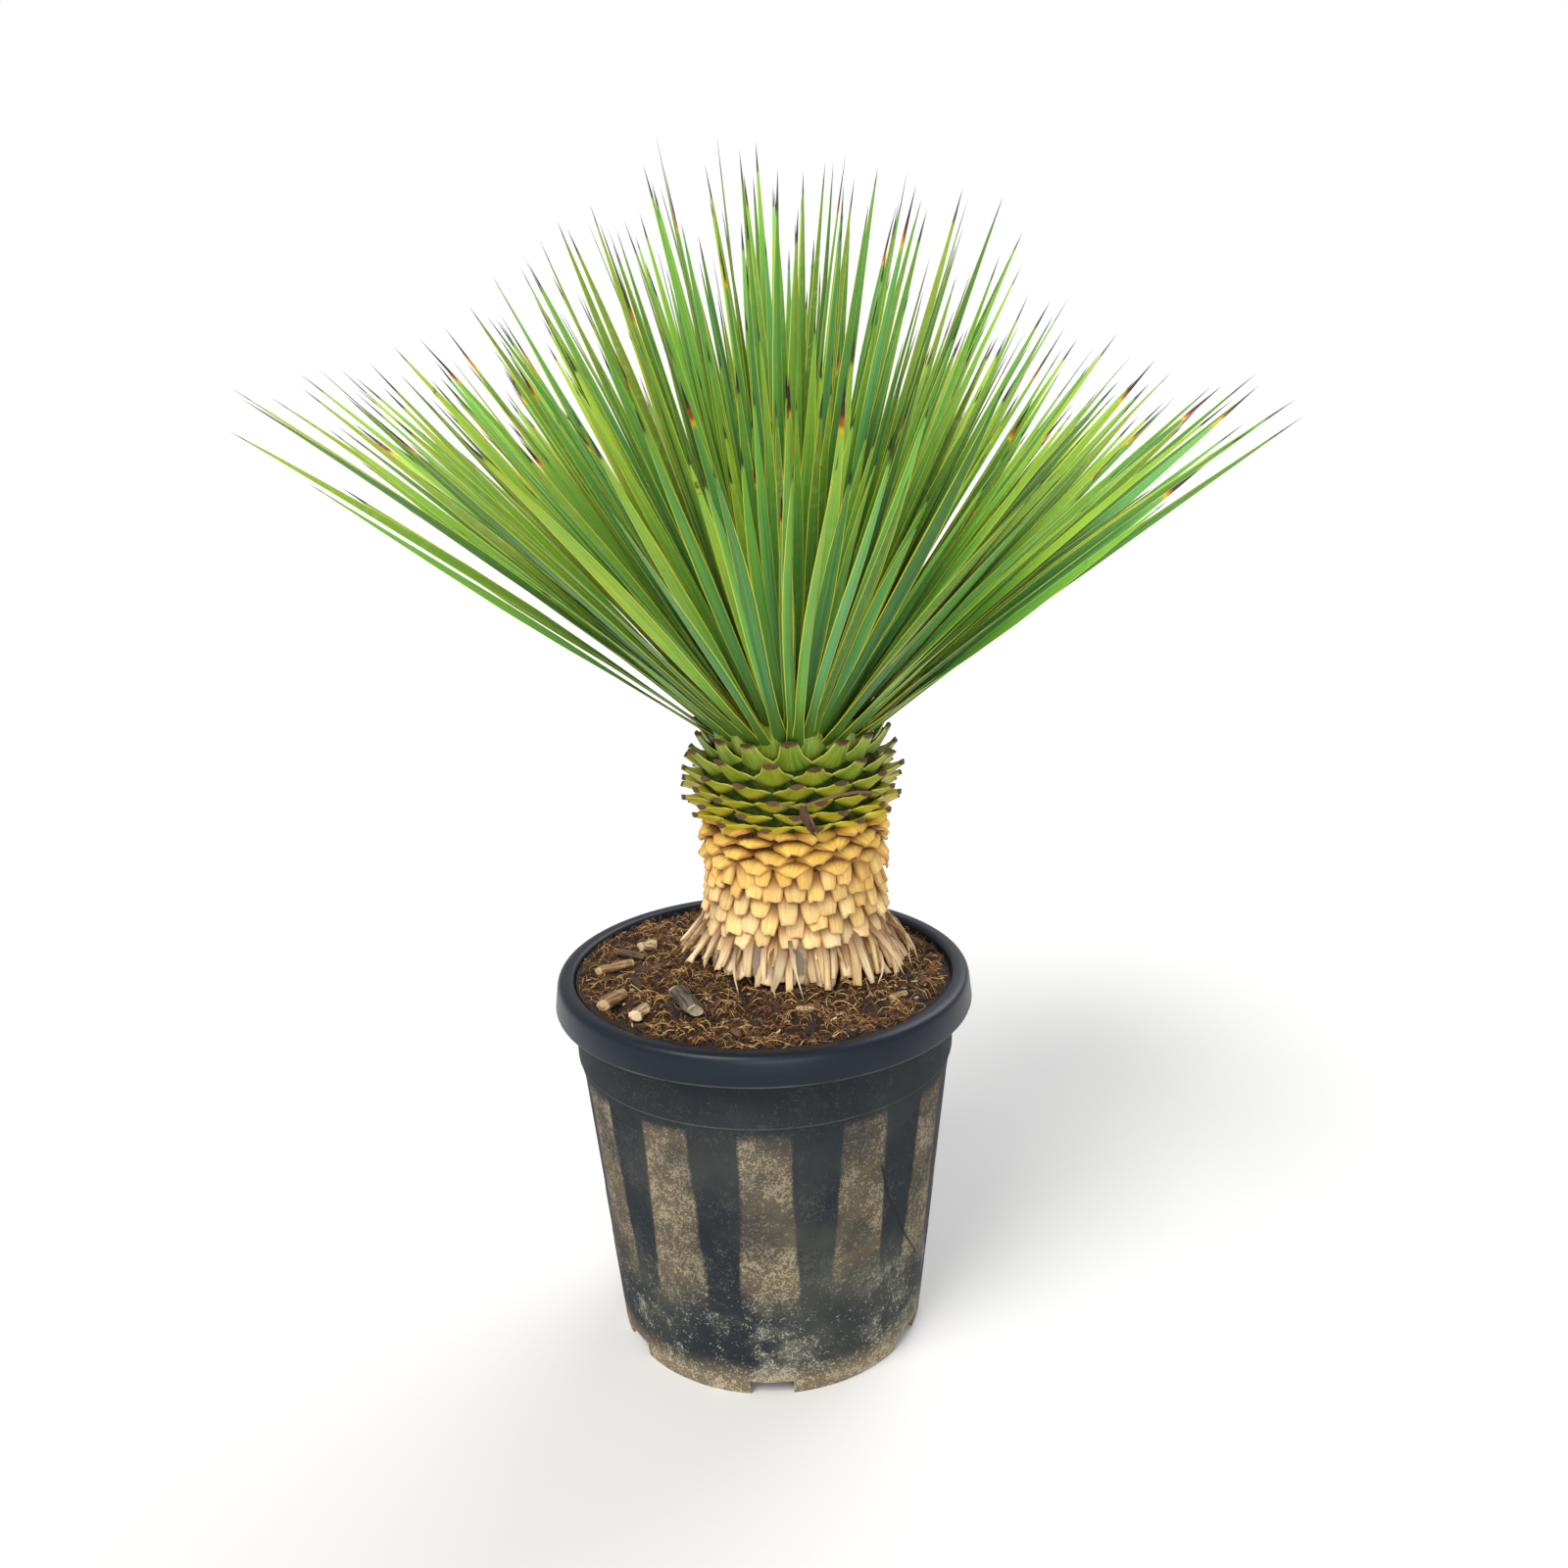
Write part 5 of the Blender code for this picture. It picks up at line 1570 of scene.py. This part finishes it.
@dataclass
class LeafCrown:
    """The crown: long narrow leaves, seated as in the solid by the golden angle."""

    count: int = 222
    fillers: int = 330
    width: float = 0.0098
    thickness: float = 0.0011
    roll: float = math.radians(62.0)
    radius: float = 0.0600
    dome: float = 0.0560
    rise: float = 0.0058
    lowest: float = math.radians(36.0)
    trim: float = 0.04
    left_gain: float = 0.10
    tips: tuple[float, ...] = (0.02, 0.02, 0.025, 0.03, 0.035, 0.035, 0.04, 0.07)
    spots: tuple[float, ...] = (0.0, 0.0, 0.0, 0.08, 0.12, 0.20)

    def reach(self, elevation: float, angle: float) -> float:
        """Return a leaf's length from its seat."""
        table = ((35.0, 0.416), (42.0, 0.382), (48.0, 0.345), (60.0, 0.328), (70.0, 0.370), (90.0, 0.392))
        left = max(0.0, -math.cos(angle))
        spread = 1.0 + (self.left_gain * left - self.trim * math.sin(angle) ** 2) * math.cos(elevation)
        return spread * along(table, math.degrees(elevation))

    def leaf(
        self, batch: Batch, stamp: Stamp, share: float, angle: float, scale: float,
        draw: random.Random, own: random.Random,
    ) -> None:
        """Add one leaf, seated, aimed, bowed and rolled by the solid's own rule.

        Args:
            batch: Where the leaf is added.
            stamp: The leaf that was modelled.
            share: The leaf's place in the crown, from 0 for the lowest to 1 for the highest.
            angle: Its angle about the trunk.
            scale: Its length against the solid's rule.
            draw: The solid's own stream of numbers.
            own: The stream for what the solid lacks.
        """
        start = math.asin(share)
        angle += draw.uniform(-0.05, 0.05)
        span = math.pi * 0.5 - self.lowest
        elevation = self.lowest + span * (start / (math.pi * 0.5)) ** 0.94 + draw.uniform(-0.035, 0.035)
        out, side = outward(angle), sideways(angle)
        run = out * math.cos(elevation) + UPWARD * math.sin(elevation)
        up = np.cross(run, side)
        seat = around(angle, self.radius * math.cos(start), GREEN_TOP + GAP + self.rise)
        seat[2] += (self.dome - self.rise) * math.sin(start)
        reach = self.reach(elevation, angle) * draw.uniform(0.92, 1.04) * scale
        arch = draw.uniform(-0.006, 0.018) * reach
        roll = -self.roll * math.cos(angle) * draw.uniform(0.6, 1.1) + draw.uniform(-0.3, 0.3)
        place = -0.02 + 1.02 * stamp.stations
        inner = np.maximum(0.0, place)
        sway = own.uniform(-0.010, 0.010) * reach * np.sin(inner * math.pi)
        sway += own.uniform(-0.004, 0.004) * reach * np.sin(inner * math.tau)
        centre = seat + run * (place * reach)[:, None] + up * (arch * 4.0 * inner * (1.0 - place))[:, None]
        centre = centre + side * sway[:, None]
        turn = roll * np.interp(place, (0.0, 0.17, 0.52, 0.84, 1.0), (0.0, 0.0, 0.9, 1.0, 1.0))
        turn += own.uniform(-0.12, 0.12) * np.sin(inner * 5.0)
        settled = np.interp(place, (0.0, 0.1, 0.4, 1.0), (0.0, 0.0, 1.0, 1.0))
        turn += own.uniform(-0.9, 0.9) * abs(math.sin(angle)) * settled
        across = side * np.cos(turn)[:, None] - up * np.sin(turn)[:, None]
        face = up * np.cos(turn)[:, None] + side * np.sin(turn)[:, None]
        wide = np.interp(
            place,
            (-0.02, 0.02, 0.08, 0.17, 0.32, 0.50, 0.66, 0.80, 0.90, 0.96, 1.0),
            (1.20, 1.10, 0.82, 0.66, 0.84, 1.00, 0.84, 0.55, 0.31, 0.15, 0.0),
        )
        half = self.width * 0.5 * wide * own.uniform(0.82, 1.12)
        thick = self.thickness * np.interp(place, (-0.02, 0.05, 0.2, 0.8, 1.0), (2.2, 1.9, 1.1, 0.8, 0.4))
        cup = half * own.uniform(0.05, 0.30)
        path = Ribbon(centre, across, face, half, thick, cup)
        wing = abs(math.cos(angle)) * math.sin(2.0 * elevation)
        low = math.cos(elevation) * max(0.0, math.cos(angle))
        warm = 0.20 + 0.24 * wing - 0.30 * low + own.uniform(-0.28, 0.42)
        batch.add(
            stamp, stamp.lay(path),
            own=own.random(), warm=min(1.0, max(0.0, warm)),
            tip=own.choice(self.tips), spots=own.choice(self.spots),
        )

    def build_heart(self) -> bpy.types.Object:
        """Build the dome that the leaves stand on."""
        bpy.ops.object.select_all(action="DESELECT")
        bpy.ops.mesh.primitive_uv_sphere_add(segments=64, ring_count=32, radius=1.0)
        heart = bpy.context.active_object
        heart.name = heart.data.name = "crown_heart"
        with edit(heart):
            bpy.ops.mesh.select_all(action="SELECT")
            centre, up = (0.0, 0.0, 0.0), (0.0, 0.0, 1.0)
            bpy.ops.mesh.bisect(plane_co=centre, plane_no=up, clear_inner=True, use_fill=True, threshold=0.001)
            bpy.ops.mesh.select_all(action="SELECT")
            bpy.ops.transform.resize(value=(self.radius, self.radius, self.dome), center_override=centre)
            bpy.ops.transform.translate(value=(TRUNK_X, TRUNK_Y, GREEN_TOP + GAP))
        smooth(heart, 40.0)
        return heart

    def build(self, effects: SharedEffects) -> None:
        """Build and dress the dome and the leaves."""
        section = np.array(
            [(1.00, 0.00), (0.42, 0.50), (-0.42, 0.50), (-1.00, 0.00), (-0.42, -0.56), (0.42, -0.56)]
        )
        stations = (0.0, 0.06, 0.16, 0.29, 0.43, 0.57, 0.70, 0.82, 0.93, 1.0)
        stamp = Stamp.model(section, stations, End.POINTED)
        draw, own = random.Random(SEED + 2), random.Random(SEED + 40)
        batch = Batch("own", "warm", "tip", "spots")
        for index in range(self.count):
            self.leaf(batch, stamp, (index + 0.5) / self.count, index * GOLDEN_ANGLE, 1.0, draw, own)
        for index in range(self.fillers):
            share, angle = (index + 0.5) / self.fillers, 1.1 + index * GOLDEN_ANGLE
            self.leaf(batch, stamp, share, angle, own.uniform(0.72, 0.98), own, own)
        # The dome under the leaves takes the core's painted shade.
        dress(self.build_heart(), bpy.data.materials["green_core_shade"], "leaf_green")
        dress(batch.make("leaves", 75.0), LeafFinish(effects).material(), "leaf_green", "leaf_crown")


@dataclass
class WoodChip:
    """One bit of wood or bark on the soil, fitted to its solid."""

    number: int
    turn: float
    length: float
    width: float
    height: float
    finish: ChipFinish
    hollow: bool = False

    def build(self, effects: SharedEffects) -> None:
        """Build the chip in its solid's place and dress it."""
        low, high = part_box(f"wood_chip_{self.number}")
        draw = random.Random(SEED + 50 + self.number)
        stamp = Stamp.model(round_section(12), (0.0, 0.04, 0.2, 0.4, 0.6, 0.8, 0.96, 1.0), End.CUT)
        middle = np.array([(low.x + high.x) * 0.5, (low.y + high.y) * 0.5, low.z + self.height * 0.46])
        bow = 0.10 * self.width * (1.0 - 4.0 * (stamp.stations - 0.5) ** 2)
        run, side = outward(self.turn), sideways(self.turn)
        centre = middle + run * ((stamp.stations - 0.5) * self.length * 0.96)[:, None] + side * bow[:, None]
        swell = np.array([0.86, 0.94, 1.0, 0.96, 1.0, 0.92, 0.84, 0.78])
        path = Ribbon.along(centre, side, self.width * 0.5 * swell, self.height * 0.46 * swell)
        points = stamp.lay(path)
        for index, point in enumerate(points):
            push = noise.noise(Vector(point) * 190.0 + Vector((0.0, 0.0, self.number))) * self.width * 0.24
            points[index] += (point - centre[stamp.ring[index]]) * (push / (self.width * 0.5))
        end = stamp.last & (stamp.inward < 0.9)
        points[end] -= run * (self.length * (0.35 if self.hollow else 0.03))
        batch = Batch("own")
        batch.add(stamp, points, own=draw.random())
        chip = batch.make(f"chip_{self.number}", 45.0)
        dress(chip, self.finish.material(effects), "chip_wood", f"wood_chip_{self.number}")


def chips() -> list[WoodChip]:
    """Return the nine bits of wood, with their sizes and finishes."""
    bark = ((0.150, 0.080, 0.036), (0.020, 0.009, 0.005), (0.26, 0.16, 0.075))
    straw = ((0.40, 0.255, 0.120), (0.090, 0.040, 0.015), (0.60, 0.44, 0.24))
    grey = ((0.150, 0.120, 0.085), (0.022, 0.015, 0.010), (0.52, 0.42, 0.29))
    pale = ((0.58, 0.44, 0.250), (0.16, 0.085, 0.035), (0.74, 0.62, 0.42))
    sizes = (
        (0.3, 0.0150, 0.0130, 0.0090, pale, True), (-0.5, 0.0290, 0.0080, 0.0060, bark, False),
        (0.55, 0.0340, 0.0100, 0.0080, straw, False), (1.05, 0.0290, 0.0130, 0.0110, straw, False),
        (1.2, 0.0190, 0.0110, 0.0090, pale, False), (-1.15, 0.0440, 0.0150, 0.0120, grey, False),
        (0.9, 0.0120, 0.0080, 0.0060, bark, False), (0.1, 0.0140, 0.0080, 0.0060, pale, False),
        (0.7, 0.0170, 0.0070, 0.0050, straw, False),
    )
    return [
        WoodChip(number, *size, ChipFinish(f"chip_wood_{number}", *colours), hollow)
        for number, (*size, colours, hollow) in enumerate(sizes, 1)
    ]


@dataclass
class Studio:
    """The pale floor, the soft light and the camera at the photograph's place."""

    eye: tuple[float, float, float] = (0.0208, -1.0672, 0.7727)
    pitch: float = math.radians(15.555)
    roll: float = math.radians(-1.3554)
    focal: float = 1400.0
    frame_width: float = 1600.0
    air: float = 0.58

    def place_camera(self) -> None:
        """Place the camera as the photograph was taken."""
        camera = bpy.data.objects.new("camera", bpy.data.cameras.new("camera"))
        bpy.context.scene.collection.objects.link(camera)
        forward = Vector((0.0, math.cos(self.pitch), -math.sin(self.pitch)))
        up = Vector((0.0, math.sin(self.pitch), math.cos(self.pitch)))
        right = Vector((1.0, 0.0, 0.0))
        right, up = (
            right * math.cos(self.roll) + up * math.sin(self.roll),
            up * math.cos(self.roll) - right * math.sin(self.roll),
        )
        turn = Matrix((right, up, -forward)).transposed().to_4x4()
        camera.matrix_world = Matrix.Translation(self.eye) @ turn
        camera.data.sensor_width = 36.0
        camera.data.lens = 36.0 * self.focal / self.frame_width
        camera.data.clip_start = 0.01
        bpy.context.scene.camera = camera

    def lay_floor(self) -> None:
        """Lay the floor."""
        bpy.ops.object.select_all(action="DESELECT")
        bpy.ops.mesh.primitive_circle_add(vertices=96, radius=14.0, fill_type="NGON")
        floor = bpy.context.active_object
        floor.name = "studio_floor"
        with edit(floor):
            bpy.ops.mesh.select_all(action="SELECT")
            bpy.ops.mesh.inset(thickness=4.0)
            bpy.ops.mesh.inset(thickness=4.0)
        floor.data.materials.append(FloorFinish().material())

    def light(self, name: str, source: Sequence[float], spread: float, power: float, colour: Colour) -> None:
        """Add a broad, distant light.

        Args:
            name: The light's name.
            source: The direction it comes from.
            spread: How wide it is, in degrees.
            power: Its strength.
            colour: Its colour.
        """
        data = bpy.data.lights.new(name, "SUN")
        data.angle = math.radians(spread)
        data.energy = power
        data.color = colour
        lamp = bpy.data.objects.new(name, data)
        bpy.context.scene.collection.objects.link(lamp)
        lamp.matrix_world = Vector(source).to_track_quat("Z", "Y").to_matrix().to_4x4()

    def build(self) -> None:
        """Set up the studio."""
        self.place_camera()
        self.lay_floor()
        self.light("key", (-0.62, -0.80, 1.30), 30.0, 2.90, (1.0, 0.975, 0.93))
        self.light("fill", (0.10, -1.00, 0.26), 40.0, 1.70, (1.0, 0.985, 0.96))
        self.light("back", (0.55, 0.85, 1.00), 42.0, 1.60, (0.97, 0.98, 1.0))
        world = bpy.data.worlds.new("studio_air")
        world.use_nodes = True
        graph = Graph(world.node_tree)
        seen = graph.node("ShaderNodeLightPath").outputs["Is Camera Ray"]
        shade = world.node_tree.nodes["Background"]
        graph.put(shade.inputs["Color"], (1.0, 1.0, 1.0))
        graph.put(shade.inputs["Strength"], graph.math("MULTIPLY_ADD", seen, 1.0 - self.air, self.air))
        bpy.context.scene.world = world
        bpy.context.scene.view_settings.view_transform = "Standard"


def main() -> None:
    """Build the pot, the soil, the plant and the studio, in that order."""
    logging.basicConfig(level=logging.INFO, format="%(name)s %(message)s")
    effects = SharedEffects.build()
    pot = NurseryPot()
    dress(pot.build(), PotFinish(effects).material(), "pot_plastic", "pot")
    soil = SoilBed(pot)
    soil.build(effects)
    for chip in chips():
        chip.build(effects)
    DryTrunk(soil).build(effects)
    GreenTrunk().build(effects)
    LeafCrown().build(effects)
    Studio().build()


if __name__ == "__main__":
    main()
